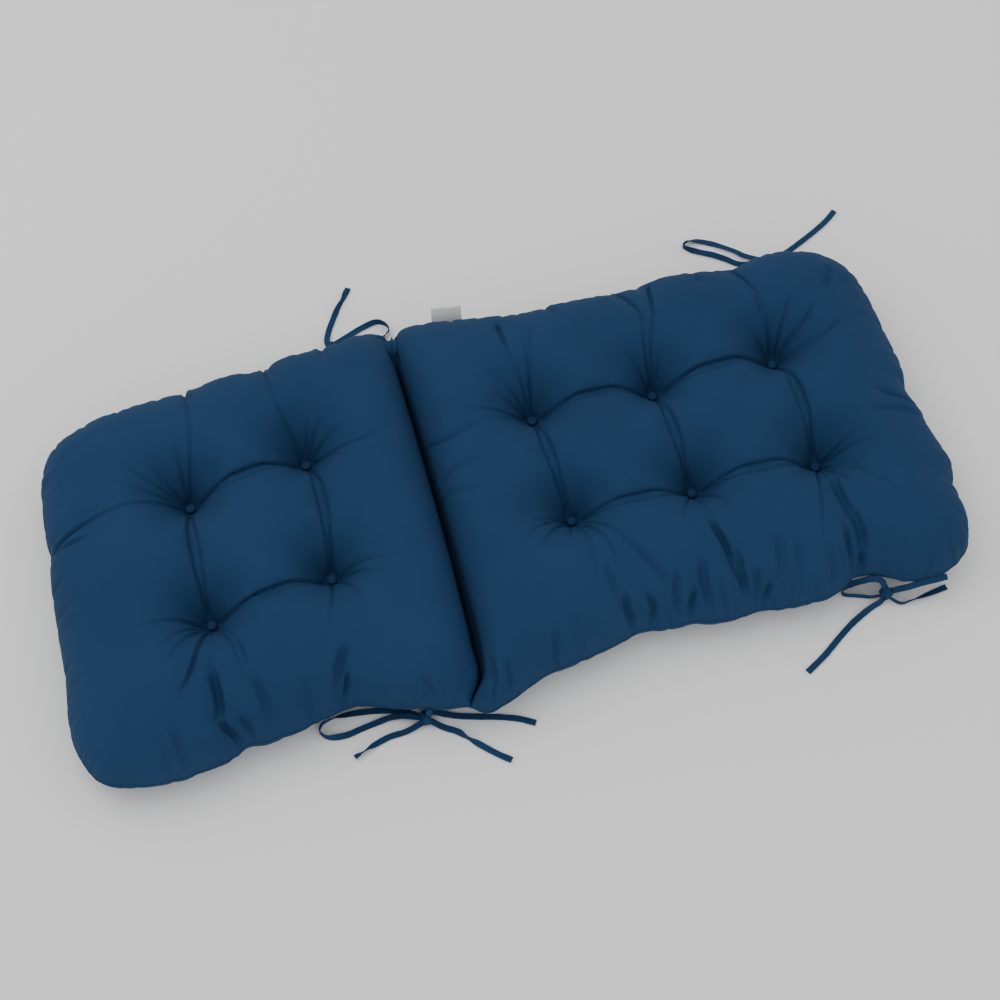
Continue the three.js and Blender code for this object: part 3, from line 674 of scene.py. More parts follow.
def with_ends(points):
    """The points with one more beyond each end, which runs straight on."""
    p = np.asarray(points, float)
    return np.vstack([2 * p[0] - p[1], p, 2 * p[-1] - p[-2]])


def rounded(points, steps=12):
    """Points on the smooth curve through the points, from the second to just before the last but one."""
    t = np.linspace(0, 1, steps, endpoint=False)[:, None]
    return np.vstack([
        0.5 * (2 * b + (c - a) * t + (2 * a - 5 * b + 4 * c - d) * t ** 2 + (3 * b - a - 3 * c + d) * t ** 3)
        for a, b, c, d in zip(points, points[1:], points[2:], points[3:])
    ])


def closed_line(points, spacing):
    """Points at even spacing on the smooth closed curve through the points."""
    fine = rounded(np.vstack([points[-1:], points, points[:2]]))
    return even(np.vstack([fine, fine[:1]]), spacing)[:-1]


def curve(points, steps=7):
    """Smooth open line through points of the plan."""
    return np.vstack([rounded(with_ends(points), steps), points[-1:]])


def between(a, b, start, end, t):
    """Points on the way from a, which is at start, to b, which is at end."""
    return (end - t) / (end - start) * a + (t - start) / (end - start) * b


def spline(points, steps=12):
    """Smooth line through the points, its knots spaced by the root of their distance."""
    ends = with_ends(points)
    gaps = [np.linalg.norm(step[:3]) ** 0.5 for step in np.diff(ends, axis=0)]
    out = []
    for i in range(len(points) - 1):
        a, b, c, d = ends[i:i + 4]
        t0, t1, t2, t3 = np.concatenate([[0], np.cumsum(gaps[i:i + 3])])
        t = np.linspace(t1, t2, steps, endpoint=False)[:, None]
        ab, bc, cd = between(a, b, t0, t1, t), between(b, c, t1, t2, t), between(c, d, t2, t3, t)
        abc, bcd = between(ab, bc, t0, t2, t), between(bc, cd, t1, t3, t)
        out.append(between(abc, bcd, t1, t2, t))
    return np.vstack([*out, points[-1:]])


def even(line, spacing):
    """The same line with points at even spacing."""
    reach = np.concatenate([[0], np.cumsum(np.linalg.norm(np.diff(line[:, :3], axis=0), axis=1))])
    share = np.linspace(0, reach[-1], max(2, int(round(reach[-1] / spacing)) + 1))
    return np.stack([np.interp(share, reach, line[:, k]) for k in range(line.shape[1])], 1)


def bowed(start, end, bow, steps=12):
    """Line between two points whose middle is moved aside, to the left of its direction."""
    a, b = np.array(start), np.array(end)
    t = np.linspace(0, 1, steps + 1)[:, None]
    aside = np.array([-(b - a)[1], (b - a)[0]]) / np.linalg.norm(b - a)
    return a + (b - a) * t + aside * bow * np.sin(math.pi * t) ** 0.8


def beside_line(x, y, line, reach, free=True):
    """Which points lie near a line, their signed distance from it, more than 0 on its left, how far along
    it they are, and their way off it."""
    low, high = line.min(0) - reach, line.max(0) + reach
    near = (x > low[0]) & (x < high[0]) & (y > low[1]) & (y < high[1]) & free
    x, y = x[near], y[near]
    best = np.full(x.shape, 9.0)
    share, side, way_x, way_y = np.zeros((4, len(x)))
    lengths = np.linalg.norm(np.diff(line, axis=0), axis=1)
    along = np.concatenate([[0], np.cumsum(lengths)]) / lengths.sum()
    for i in range(len(line) - 1):
        a, run = line[i], line[i + 1] - line[i]
        t = np.clip(((x - a[0]) * run[0] + (y - a[1]) * run[1]) / (run @ run), 0, 1)
        off_x, off_y = x - a[0] - t * run[0], y - a[1] - t * run[1]
        distance = np.hypot(off_x, off_y)
        closer = distance < best
        best = np.where(closer, distance, best)
        share = np.where(closer, along[i] + t * (along[i + 1] - along[i]), share)
        side = np.where(closer, np.where(run[0] * off_y - run[1] * off_x < 0, -1.0, 1.0), side)
        way_x, way_y = np.where(closer, off_x, way_x), np.where(closer, off_y, way_y)
    return near, best * side, share, way_x, way_y


# Tie tapes


def tape_rows(name, start_knot=None, end_knot=None):
    """Route in metres with the roll in radians, sunk into its knots as the solids are."""
    rows = []
    for x, y, height, roll in TAPES[name]:
        turn = math.radians(roll)
        half = 0.5 * (TAPE_WIDTH * abs(math.sin(turn)) + SOLID_THICKNESS * abs(math.cos(turn)))
        rows.append([x / 1000, y / 1000, max(height / 1000, half + FLOOR_CLEARANCE), turn])
    for index, knot in ((0, start_knot), (-1, end_knot)):
        if knot:
            centre, half_sizes = (np.array(v) for v in KNOTS[knot])
            away = np.array(rows[index][:3]) - centre
            rows[index][:3] = centre + away * KNOT_SINK / np.linalg.norm(away / half_sizes)
    return rows


def tape_section():
    """Section of a folded tape, as shares of its width and thickness: round edges and a flat middle."""
    corner = [(0.5, 0.0), (0.49, 0.28), (0.46, 0.44), (0.40, 0.5), (0.22, 0.46), (0.0, 0.44)]
    upper = corner + [(-u, v) for u, v in corner[-2::-1]]
    return np.array(upper + [(u, -v) for u, v in upper[-2:0:-1]]).T


def ribbon(name, rows, material, seed, hemmed):
    """Flat tape along its route: rounded section, level unless rolled, with a slight waver and folded end."""
    line = even(spline(rows), TAPE_STEP)
    line, roll = line[:, :3], line[:, 3:]
    count = len(line)
    tangent = unit(np.gradient(line, axis=0))
    aside = unit(np.cross(tangent, (0, 0, 1)))
    wide = aside * np.cos(roll) + np.cross(tangent, aside) * np.sin(roll)
    flat = np.cross(wide, tangent)
    phases = np.random.default_rng(seed).uniform(0, 6, 3)
    reach = np.linspace(0, count * TAPE_STEP, count)
    waver = (sum(np.sin(reach * f + p) for f, p in zip(TAPE_WAVES, phases)) / 3)[:, None]
    thick = np.full((count, 1), TAPE_THICKNESS)
    if hemmed:
        hem = smooth(HEM_LENGTH + HEM_STEP, HEM_LENGTH, reach[-1] - reach)
        thick = thick * (1 + (HEM_THICKNESS - 1) * hem[:, None])
    u, v = tape_section()
    out = u * TAPE_WIDTH * (1 + TAPE_WAVER * waver)
    up = v * thick + TAPE_CUP * thick * (1 - (2 * u) ** 2) * waver
    points = line[:, None] + wide[:, None] * out[..., None] + flat[:, None] * up[..., None]
    m = len(u)
    ends = [tuple(range(m - 1, -1, -1)), tuple((count - 1) * m + k for k in range(m))]
    uvs = ring_uvs((u + 0.5) * TAPE_WIDTH, reach)
    return new_object(name, points.reshape(-1, 3), ring_faces(count, m) + ends, material, uvs), line


def band(centre, half_sizes, tilt):
    """Points and UVs of a tape wound once round a knot, its plane tilted about the vertical."""
    along, across, up = half_sizes
    width = min(BAND_WIDTH, 1.5 * along)
    u, v = tape_section()
    a = full_turn(BAND_TURNS)[:, None]
    out = unit(np.hstack([np.cos(a) * up, np.sin(a) * across]))
    swell = 1 + BAND_BULGE * np.sin(3 * a)
    y = across * np.cos(a) * swell + out[:, :1] * v * TAPE_THICKNESS
    z = up * np.sin(a) * swell + out[:, 1:] * v * TAPE_THICKNESS
    x = u * width
    turned = [x * math.cos(tilt) - y * math.sin(tilt), x * math.sin(tilt) + y * math.cos(tilt), z]
    return np.dstack(turned).reshape(-1, 3) + centre, ring_uvs((u + 0.5) * width, a[:, 0] * across)


def make_knot(name, centre, half_sizes, material, seed):
    """Knot: a soft core with two wound bands of the same tape."""
    rng = np.random.default_rng(seed)
    along, across, up = half_sizes
    p = math.pi * np.arange(KNOT_RINGS + 1)[:, None] / KNOT_RINGS
    a = full_turn(KNOT_TURNS)
    lump = 1 + 0.06 * np.sin(3 * a + 2 * p) + 0.05 * np.sin(5 * p - 2 * a)
    length, girth = KNOT_CORE
    core = [along * length * np.cos(p) * lump, across * girth * np.sin(p) * np.cos(a) * lump,
            up * girth * np.sin(p) * np.sin(a) * lump]
    points = np.dstack(core).reshape(-1, 3) + centre
    uvs = ring_uvs(a * 0.004, p[:, 0] * 0.004)
    faces = ring_faces(KNOT_RINGS + 1, KNOT_TURNS)
    for tilt, shrink in ((rng.uniform(-0.1, 0.1), 0.93), (rng.uniform(0.35, 0.6), 0.86)):
        wound, wound_uvs = band(centre, (along, across * shrink, up * shrink), tilt)
        faces += ring_faces(BAND_TURNS, len(wound) // BAND_TURNS, len(points), closed=True)
        points = np.vstack([points, wound])
        uvs = np.vstack([uvs, wound_uvs])
    return new_object(name, points, faces, material, uvs)


def add_cord(name, rows, nodes, material, far_end, seed):
    piece, line = ribbon(name, rows, material, seed, far_end == "bare")
    dress(piece, "tape", *nodes)


def make_ties(material):
    knots = {}
    for seed, (name, (centre, half_sizes)) in enumerate(KNOTS.items()):
        knots[name] = make_knot(f"knot_{name}", centre, half_sizes, material, seed)
        dress(knots[name], "tape", f"tie_{name}_knot")
    for seed, (name, (tail, *others)) in enumerate(TAILS.items()):
        rows = tape_rows(f"{name}_root") + [[*KNOTS[name][0], 0.0]] + tape_rows(f"{name}_{tail}")
        nodes = (f"tie_{name}_root", f"tie_{name}_{tail}")
        add_cord(f"tape_{name}_{tail}", rows, nodes, material, "bare", 10 + seed)
        loop = tape_rows(f"{name}_loop", name, name)
        add_cord(f"tape_{name}_loop", loop, (f"tie_{name}_loop",), material, "knot", 20 + seed)
        for k, other in enumerate(others):
            rows = tape_rows(f"{name}_{other}", name)
            nodes = (f"tie_{name}_{other}",)
            add_cord(f"tape_{name}_{other}", rows, nodes, material, "bare", 30 + 4 * seed + k)


# Cushion


def hinge_x(y):
    """Where the stitched fold line crosses that y."""
    fit = np.polyfit([p[1] for p in HINGE_POINTS], [p[0] for p in HINGE_POINTS], 3)
    return np.polyval(fit, y)


def seam_outline():
    """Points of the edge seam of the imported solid, anticlockwise from the far end of the fold line."""
    corners = np.array([v.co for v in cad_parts["cushion"].data.vertices])
    on_seam = np.abs(corners[:, 2] - SEAM_HEIGHT) < 1e-5
    seam = np.unique(corners[on_seam][:, :2].round(5), axis=0)
    in_seat = seam[:, 0] < hinge_x(seam[:, 1]) - 1e-4
    seat, back = seam[in_seat], seam[~in_seat]
    seat_turn = np.arctan2(seat[:, 1], seat[:, 0] - SEAT_MIDDLE) % (2 * np.pi)
    back_turn = (np.arctan2(back[:, 1], back[:, 0] - BACK_MIDDLE) + np.pi) % (2 * np.pi)
    return np.vstack([seat[seat_turn.argsort()], back[back_turn.argsort()]])


def gathers(reach, depth, perimeter):
    """Small folds that the edge seam gathers in, at a distance along the edge and a depth from it."""
    rng = np.random.default_rng(7)
    total = np.zeros(np.shape(reach))
    place = 0.0
    while place < perimeter:
        length, amount = rng.uniform(*GATHER_LENGTH), rng.uniform(*GATHER_DEPTH)
        slant, width = rng.uniform(*GATHER_SLANT), rng.uniform(*GATHER_WIDTH)
        off = (reach - place - slant * depth + perimeter / 2) % perimeter - perimeter / 2
        wide = width + GATHER_SPREAD * np.maximum(depth, 0)
        fold = amount * np.exp(-(off / wide) ** 2) * smooth(length, 0.2 * length, depth)
        total = np.maximum(total, fold)
        place += rng.uniform(*GATHER_PITCH)
    return total


def gathered_edge(edge):
    """The outline with a small notch at each gather."""
    reach = np.arange(len(edge)) * EDGE_SPACING
    notch = gathers(reach, np.zeros(len(edge)), len(edge) * EDGE_SPACING) * GATHER_NOTCH
    notched = edge - outward_of(edge) * notch[:, None]
    for _ in range(EDGE_SMOOTHING):
        notched = (np.roll(notched, 1, 0) + 2 * notched + np.roll(notched, -1, 0)) / 4
    return notched


class Grid:
    """Square grid in the plan, sheared so that one column follows the fold line."""

    def __init__(self, edge):
        first, last = math.floor(GRID_REACH[0] / SPACING), math.ceil(GRID_REACH[1] / SPACING)
        side = math.ceil(GRID_SIDE / SPACING)
        self.columns = np.arange(first, last + 1) * SPACING
        self.rows = np.arange(-side, side + 1) * SPACING
        self.hinge_column = int(np.argmin(np.abs(self.columns)))
        self.from_hinge, y = np.meshgrid(self.columns, self.rows, indexing="ij")
        x = self.from_hinge + hinge_x(y)
        distance, nearest = self.nearest(edge, x, y)
        inside = self.within(edge, x)
        self.depth = np.where(inside, 1, -1) * distance
        self.reach = nearest * EDGE_SPACING
        self.perimeter = len(edge) * EDGE_SPACING
        self.inside = inside & (self.depth > CELL_SHARE * SPACING)
        self.active = np.zeros_like(self.inside)
        for i in (-1, 0, 1):
            for j in (-1, 0, 1):
                self.active |= np.roll(self.inside, (i, j), (0, 1))
        self.rim = self.active & ~self.inside
        self.on_edge = edge[nearest].transpose(2, 0, 1)
        self.outward = outward_of(edge)[nearest].transpose(2, 0, 1)
        self.plan = np.stack([x, y])
        self.plan[:, self.rim] = self.on_edge[:, self.rim]
        self.depth[self.rim] = 0
        self.hinge = (np.abs(self.from_hinge) < 1e-6) & self.active

    def within(self, edge, x):
        """Which points of the grid lie inside the closed line."""
        following = np.roll(edge, -1, 0)
        inside = np.zeros(x.shape, bool)
        for j, level in enumerate(self.rows):
            crossed = (edge[:, 1] > level) != (following[:, 1] > level)
            a, b = edge[crossed], following[crossed]
            places = np.sort(a[:, 0] + (level - a[:, 1]) / (b[:, 1] - a[:, 1]) * (b[:, 0] - a[:, 0]))
            inside[:, j] = np.searchsorted(places, x[:, j]) % 2 == 1
        return inside

    def look_up(self, field, from_hinge, y):
        """Value of a field of the grid at any place, between its four nearest points."""
        i = np.clip((from_hinge - self.columns[0]) / SPACING, 0, len(self.columns) - 1.001)
        j = np.clip((y - self.rows[0]) / SPACING, 0, len(self.rows) - 1.001)
        i0, j0 = i.astype(int), j.astype(int)
        u, v = i - i0, j - j0
        return ((field[i0, j0] * (1 - u) + field[i0 + 1, j0] * u) * (1 - v)
                + (field[i0, j0 + 1] * (1 - u) + field[i0 + 1, j0 + 1] * u) * v)

    @staticmethod
    def nearest(edge, x, y):
        """Distance of each point from the closed line, and the nearest point on it."""
        tree = KDTree(len(edge))
        for k, (px, py) in enumerate(edge):
            tree.insert((px, py, 0), k)
        tree.balance()
        found = [tree.find((px, py, 0))[1:] for px, py in zip(x.ravel(), y.ravel())]
        nearest, distance = (np.array(column).reshape(x.shape) for column in zip(*found))
        return distance, nearest


def scaled(fold, share):
    """Depth and half width of a fold, with its depth scaled."""
    return fold[0] * share, fold[1]


def all_folds():
    """Every fold as a line, its valley, its sharp line, its fading and the side of its ridge."""
    for first, last, *bows in PINCHES:
        ends = TUFTS[first], TUFTS[last]
        sharp, faint = metres(bows)
        yield Fold(bowed(*ends, (sharp + faint) / 2), PINCH_VALLEY, None, "none", 0)
        yield Fold(bowed(*ends, sharp), None, PINCH_LINE, "none", 0)
        yield Fold(bowed(*ends, faint), None, scaled(PINCH_LINE, PINCH_SHARE), "none", 0)
    for fade, table in (("broken", LONG_FOLDS), ("end", PILLOW_FOLDS)):
        for tuft, points, side, broad, fine in table:
            line = curve(np.vstack([TUFTS[tuft], metres(points)]))
            yield Fold(line, scaled(LONG_VALLEY, broad), scaled(LONG_LINE, fine), fade, side)
    for points, side, share, half in CREASES:
        sharp = (CREASE_LINE * share, half / 1000)
        yield Fold(curve(metres(points)), scaled(CREASE_VALLEY, share), sharp, "both", side)
    fans = [(TUFTS[tuft], *fan) for tuft, table in FANS.items() for fan in table]
    for k, (centre, angle, length, bend) in enumerate(fans):
        way = np.array([math.cos(math.radians(angle)), math.sin(math.radians(angle))])
        line = bowed(centre + way * BUTTON_RADIUS, centre + way * (length / 1000), bend / 1000)
        yield Fold(line, FAN_VALLEY, FAN_LINE, "out", 1 - 2 * (k % 2))
    for k, (start, end, share) in enumerate(PUCKERS):
        side = 1 - 2 * (k % 2)
        line = bowed(metres(start), metres(end), PUCKER_BOW * side)
        yield Fold(line, scaled(PUCKER_VALLEY, share), scaled(PUCKER_LINE, share), "in", side)


def strength(fade, share):
    """How much of a fold is left along its line."""
    lost, (faint, full), (falling, gone), gap = FADES[fade]
    left = (1 - lost * share) * smooth(faint, full, share) * smooth(gone, falling, share)
    return left * (1 - gap * np.sin(math.pi * share) ** 2)


def from_tufts(x, y):
    """Distance of the points from each tuft, one array for each."""
    return np.stack([np.hypot(x - tuft[0], y - tuft[1]) for tuft in TUFTS.values()])


def filled_form(grid):
    """Height of the tufted form over the plan, with its broad valleys but without the sharp folds."""
    x, y = grid.plan
    rise = shoulder(grid.depth, TOP_SHOULDER)
    from_fold = shoulder(np.abs(grid.from_hinge), HINGE_SHOULDER)
    full = (HINGE_TOP - SEAM_HEIGHT) + (CROWN_HEIGHT - HINGE_TOP) * from_fold
    total = np.zeros(x.shape)
    for distance in from_tufts(x, y):
        r = np.clip((distance - BUTTON_RADIUS) / TUFT_RADIUS, 0, 1)
        total += (TUFT_DEPTH * (1 - r) ** TUFT_POWER) ** 3
    for fold in all_folds():
        if fold.valley:
            depth, half = fold.valley
            near, distance, share, _, _ = beside_line(x, y, fold.line, half)
            slope = np.clip(1 - np.abs(distance) / half, 0, 1) ** VALLEY_POWER
            total[near] += (depth * strength(fold.fade, share) * slope) ** 3
    return SEAM_HEIGHT + (full - np.cbrt(total) * from_fold) * rise


def under_form(grid):
    """Height of the underside over the plan."""
    x, y = grid.plan
    edge = SEAM_HEIGHT * (1 - shoulder(grid.depth, UNDER_SHOULDER))
    fold = HINGE_UNDERSIDE * (1 - shoulder(np.abs(grid.from_hinge), UNDER_HINGE_SHOULDER))
    r = np.clip(from_tufts(x, y).min(0) / UNDER_DENT_RADIUS, 0, 1)
    form = np.maximum(np.maximum(edge, fold), UNDER_DENT_DEPTH * (1 - r) ** 2)
    return np.maximum(0, form - UNDER_PRESSED)


def sharp_folds(grid, points):
    """Depth of the sharp folds at the points of the settled cover; less than 0 on a ridge beside one."""
    x, y = points[0].astype(float), points[1].astype(float)
    deep, ridge = np.zeros((2, *x.shape))
    for fold in all_folds():
        if fold.sharp:
            depth, half = fold.sharp
            near, distance, share, _, _ = beside_line(x, y, fold.line, LINE_REACH * half)
            left = depth * strength(fold.fade, share)
            start, more = FAN_WIDENING
            wide = half * (start + more * share) if fold.fade == "out" else half
            deep[near] = np.maximum(deep[near], left * np.exp(-np.abs(distance / wide) ** FOLD_SHARPNESS))
            if fold.ridge:
                off = (distance * fold.ridge - RIDGE_OFFSET * wide) / wide
                ridge[near] = np.maximum(ridge[near], RIDGE_SHARE * left * np.exp(-off ** 2))
    quiet = np.minimum(1, shoulder(grid.depth, TOP_SHOULDER) * FROM_EDGE)
    return (deep - ridge) * (quiet * smooth(*FROM_BUTTON, from_tufts(x, y).min(0)))


def draw_towards_folds(cloth):
    """Draws the cloth beside each sharp fold in towards it, along the surface, so that the fold is fine."""
    normals = cloth.normals().astype(float)
    up = np.maximum(normals[2], LEAST_UP)
    x, y, z = cloth.points.astype(float)
    for fold in all_folds():
        if not fold.sharp or fold.sharp[1] > FINE_LINE:
            continue
        near, distance, share, way_x, way_y = beside_line(x, y, fold.line, DRAW_REACH, cloth.free > 0)
        left = strength(fold.fade, share) ** 0.5
        pull = DRAW_IN * left * np.clip(1 - np.abs(distance) / DRAW_REACH, 0, 1) ** 2
        x[near] -= way_x * pull
        y[near] -= way_y * pull
        z[near] += (normals[0][near] * way_x + normals[1][near] * way_y) * pull / up[near]
    cloth.points[:] = np.stack([x, y, z])


def faint_waves(x, y):
    """Slight unevenness of filling and cover."""
    rng = np.random.default_rng(11)
    total = np.zeros(np.shape(x))
    for _ in range(WAVE_COUNT):
        angle, length, phase = rng.uniform(0, math.pi), rng.uniform(*WAVE_LENGTH), rng.uniform(0, 2 * math.pi)
        total += length * np.sin(2 * math.pi * (x * math.cos(angle) + y * math.sin(angle)) / length + phase)
    return total * WAVE_HEIGHT


class Cloth:
    """Sheet on the grid that keeps its lengths: arrays are (3, columns, rows)."""

    def __init__(self, grid, points, rest, free):
        self.grid = grid
        self.points = points.astype(np.float32)
        self.free = free.astype(np.float32)
        self.speed = np.zeros_like(self.points)
        whole = slice(None)
        self.edges = []
        for parity in (0, 1):
            a, b = slice(parity, -1, 2), slice(parity + 1, None, 2)
            for pair in (
                ((whole, a, whole), (whole, b, whole)),
                ((whole, whole, a), (whole, whole, b)),
                ((whole, a, slice(0, -1)), (whole, b, slice(1, None))),
                ((whole, a, slice(1, None)), (whole, b, slice(0, -1))),
            ):
                self.edges.append(self.edge_set(*pair, rest))
        active = grid.active
        self.middle = (active[1:-1, 1:-1] & active[2:, 1:-1] & active[:-2, 1:-1]
                       & active[1:-1, 2:] & active[1:-1, :-2]).astype(np.float32)

    def edge_set(self, a, b, rest):
        length = rest(a, b).astype(np.float32)
        free_a, free_b = self.free[a[1:]], self.free[b[1:]]
        both = free_a + free_b
        used = self.grid.active[a[1:]] & self.grid.active[b[1:]] & (length > 1e-5) & (both > 0)
        shares = (np.where(used, free / np.maximum(both, 1e-9), 0) for free in (free_a, free_b))
        return a, b, length, *(share.astype(np.float32) for share in shares)

    def keep_lengths(self):
        """Moves the ends of each edge towards its length; a squeezed edge resists less than a pulled one."""
        for a, b, length, share_a, share_b in self.edges:
            start, end = self.points[a], self.points[b]
            run = end - start
            now = np.sqrt(run[0] * run[0] + run[1] * run[1] + run[2] * run[2]) + 1e-9
            off = (now - length) / now
            off = np.where(off > 0, off, off * SQUEEZE)
            start += run * (off * share_a)
            end -= run * (off * share_b)

    def normals(self):
        p = self.points
        n = np.zeros_like(p)
        u = p[:, 2:, 1:-1] - p[:, :-2, 1:-1]
        v = p[:, 1:-1, 2:] - p[:, 1:-1, :-2]
        for k in range(3):
            i, j = (k + 1) % 3, (k + 2) % 3
            n[k, 1:-1, 1:-1] = u[i] * v[j] - u[j] * v[i]
        n /= np.sqrt((n * n).sum(0)) + 1e-12
        return n

    @staticmethod
    def spread(p):
        """Sum of the steps from each inner point to its four neighbours."""
        return p[:, 2:, 1:-1] + p[:, :-2, 1:-1] + p[:, 1:-1, 2:] + p[:, 1:-1, :-2] - 4 * p[:, 1:-1, 1:-1]

    def curl(self):
        """How far each point lies from the middle of its neighbours, times four."""
        out = np.zeros_like(self.points)
        out[:, 1:-1, 1:-1] = self.spread(self.points) * self.middle
        return out

    def resist_bending(self):
        self.points[:, 1:-1, 1:-1] -= BEND * self.spread(self.curl()) * self.free[1:-1, 1:-1]

    def soften(self, amount):
        self.points += amount * self.curl() * self.free


def seam_height(place):
    """The edge seam wanders a little up and down."""
    x, y = place
    return SEAM_HEIGHT + SEAM_WANDER * sum(s * np.sin(a * x + b * y + p) for a, b, p, s in SEAM_WAVES)


def relax(grid, height, steps, top):
    """Lets a sheet settle on the filled form, pushed out by the filling and held by its lengths."""
    lean = np.clip((LEAN_START - grid.plan[1]) * LEAN_RATE, *LEAN_LIMITS)
    lean = lean * smooth(LEAN_REACH, 0.0, np.abs(grid.from_hinge)) * smooth(0.0, NEAR_EDGE, grid.depth) * top
    x, y = grid.plan[0] + lean, grid.plan[1]
    up = 1 if top else -1
    free = grid.inside.astype(np.float32)
    free[grid.hinge] = 0
    start = np.stack([x, y, height])
    start[2][grid.rim] = seam_height(grid.on_edge)[grid.rim]
    hinge_middle = HINGE_TOP if top else HINGE_UNDERSIDE
    hinge_line = SEAM_HEIGHT + (hinge_middle - SEAM_HEIGHT) * smooth(0, NEAR_EDGE, grid.depth)
    if top:
        hinge_line = hinge_line + HINGE_END_LIFT * np.exp(-((y - HINGE_END_AT) / HINGE_END_WIDTH) ** 2)
    start[2][grid.hinge] = hinge_line[grid.hinge]
    spare = SEAM_SPARE * smooth(SEAM_SPARE_REACH, 0.0, grid.depth)
    slack = np.full(x.shape, SLACK)
    if top:
        r = from_tufts(x, y).min(0)
        slack *= smooth(*SLACK_FROM_TUFT, r)
        held = r <= BUTTON_RADIUS * TUFT_HOLD
        free[held] = 0
        start[2][held] = BUTTON_SEAT_HEIGHT
    form = np.stack([x, y, height])
    form[2][grid.rim] = start[2][grid.rim]

    def rest(a, b):
        run = form[b] - form[a]
        return np.sqrt((run * run).sum(0)) * (1 + 0.5 * (spare[a[1:]] + spare[b[1:]]))

    cloth = Cloth(grid, start, rest, free)
    side = np.where(grid.from_hinge < 0, -1, 1)
    limit_field = (height + up * slack).astype(np.float32)
    by_edge = ((grid.depth < EDGE_BAND) & grid.inside) * cloth.free
    near_end = np.clip((FOLD_LINE_HALF - y) / (2 * FOLD_LINE_HALF), 0, 1)
    crevice = (CREVICE[0] + (CREVICE[1] - CREVICE[0]) * near_end) * smooth(0.0, CREVICE_END, grid.depth)
    if not top:
        crevice = np.minimum(crevice, UNDER_CREVICE * np.abs(grid.from_hinge))
    for step in range(steps):
        p = cloth.points
        if step % LOOK_EVERY == 0:
            fold_at = hinge_x(p[1])
        limit = grid.look_up(limit_field, p[0] - fold_at - lean, p[1])
        fill = FILL_PUSH * np.clip(up * (limit - p[2]) / FILL_GIVE, *FILL_LIMITS)
        cloth.speed *= DAMPING
        cloth.speed += up * cloth.normals() * (fill * cloth.free)
        before = p.copy()
        p += cloth.speed
        cloth.keep_lengths()
        cloth.keep_lengths()
        cloth.resist_bending()
        past = p[0] - fold_at - lean
        over = np.where(side < 0, np.maximum(past + crevice, 0), np.minimum(past - crevice, 0))
        p[0] -= over * cloth.free * CREVICE_HOLD
        out = (p[0] - grid.on_edge[0]) * grid.outward[0] + (p[1] - grid.on_edge[1]) * grid.outward[1]
        p[:2] -= np.maximum(out + EDGE_INSET, 0) * by_edge * grid.outward
        above = np.maximum(up * (p[2] - limit), 0)
        p[2] -= up * FORM_HOLD * above * cloth.free
        if not top:
            np.maximum(p[2], 0.0, out=p[2])
        cloth.speed = (p - before) * cloth.free
        fast = np.sqrt((cloth.speed ** 2).sum(0))
        cloth.speed *= np.minimum(1, TOP_SPEED / (fast + 1e-9))
    cloth.soften(SETTLED_SOFTENING)
    return cloth


def fold_cover(grid, cloth, top):
    """Presses the sharp folds and the gathers of the seam into the settled cover."""
    up = 1 if top else -1
    depth = gathers(grid.reach, grid.depth, grid.perimeter) * smooth(0.0, GATHER_START, grid.depth)
    if top:
        draw_towards_folds(cloth)
        calm = smooth(0.0, WAVE_FROM_EDGE, grid.depth) * smooth(0.0, WAVE_FROM_FOLD, np.abs(grid.from_hinge))
        depth = depth + sharp_folds(grid, cloth.points)
        depth = depth + faint_waves(*grid.plan) * calm
    else:
        depth = depth * UNDER_GATHERS
    normals = cloth.normals()
    cloth.points -= normals * (up * depth * cloth.free)
    cloth.soften(FOLD_SOFTENING)
    if not top:
        for _ in range(UNDER_SMOOTHING):
            cloth.soften(UNDER_SOFTENING)
        np.maximum(cloth.points[2], 0.0, out=cloth.points[2])
    return cloth.points


def cushion_piece(name, grid, top, under, columns, material):
    """Closed mesh of one half: its top, its underside and the wall under the fold line."""
    use = np.zeros(grid.active.shape, bool)
    use[columns] = True
    cells = grid.inside[:-1, :-1] | grid.inside[1:, :-1] | grid.inside[1:, 1:] | grid.inside[:-1, 1:]
    cells &= use[:-1, :-1] & use[1:, :-1]
    corner = np.zeros(grid.active.shape, bool)
    for di in (0, 1):
        for dj in (0, 1):
            corner[di:corner.shape[0] - 1 + di, dj:corner.shape[1] - 1 + dj] |= cells
    above = int(corner.sum())
    number = np.full(corner.shape, -1)
    number[corner] = np.arange(above)
    below = number.copy()
    own = corner & ~grid.rim
    below[own] = above + np.arange(own.sum())
    points = np.concatenate([top[:, corner].T, under[:, own].T])
    uvs = np.concatenate([grid.plan[:, corner].T, grid.plan[:, own].T])
    i, j = np.nonzero(cells)
    faces = np.concatenate([
        np.stack([number[i, j], number[i + 1, j], number[i + 1, j + 1], number[i, j + 1]], 1),
        np.stack([below[i, j], below[i, j + 1], below[i + 1, j + 1], below[i + 1, j]], 1),
    ]).tolist()
    over, beneath = number[grid.hinge_column], below[grid.hinge_column]
    rows = np.nonzero(corner[grid.hinge_column])[0]
    for a, b in zip(rows[:-1], rows[1:]):
        wall = list(dict.fromkeys([over[a], beneath[a], beneath[b], over[b]]))
        if len(wall) > 2:
            faces.append(wall if columns.start is None else wall[::-1])
    piece = new_object(name, points, faces, material, uvs)
    resting = piece.vertex_groups.new(name="underside")
    resting.add((np.nonzero(grid.depth[own] > UNDERSIDE_RIM)[0] + above).tolist(), 1.0, "REPLACE")
    coarser = piece.modifiers.new("coarser underside", "DECIMATE")
    coarser.vertex_group = "underside"
    coarser.ratio = MESH_SHARE
    apply_modifiers(piece)
    piece.vertex_groups.clear()
    for vertex in piece.data.vertices:
        vertex.co.z = max(vertex.co.z, 0)
    return piece


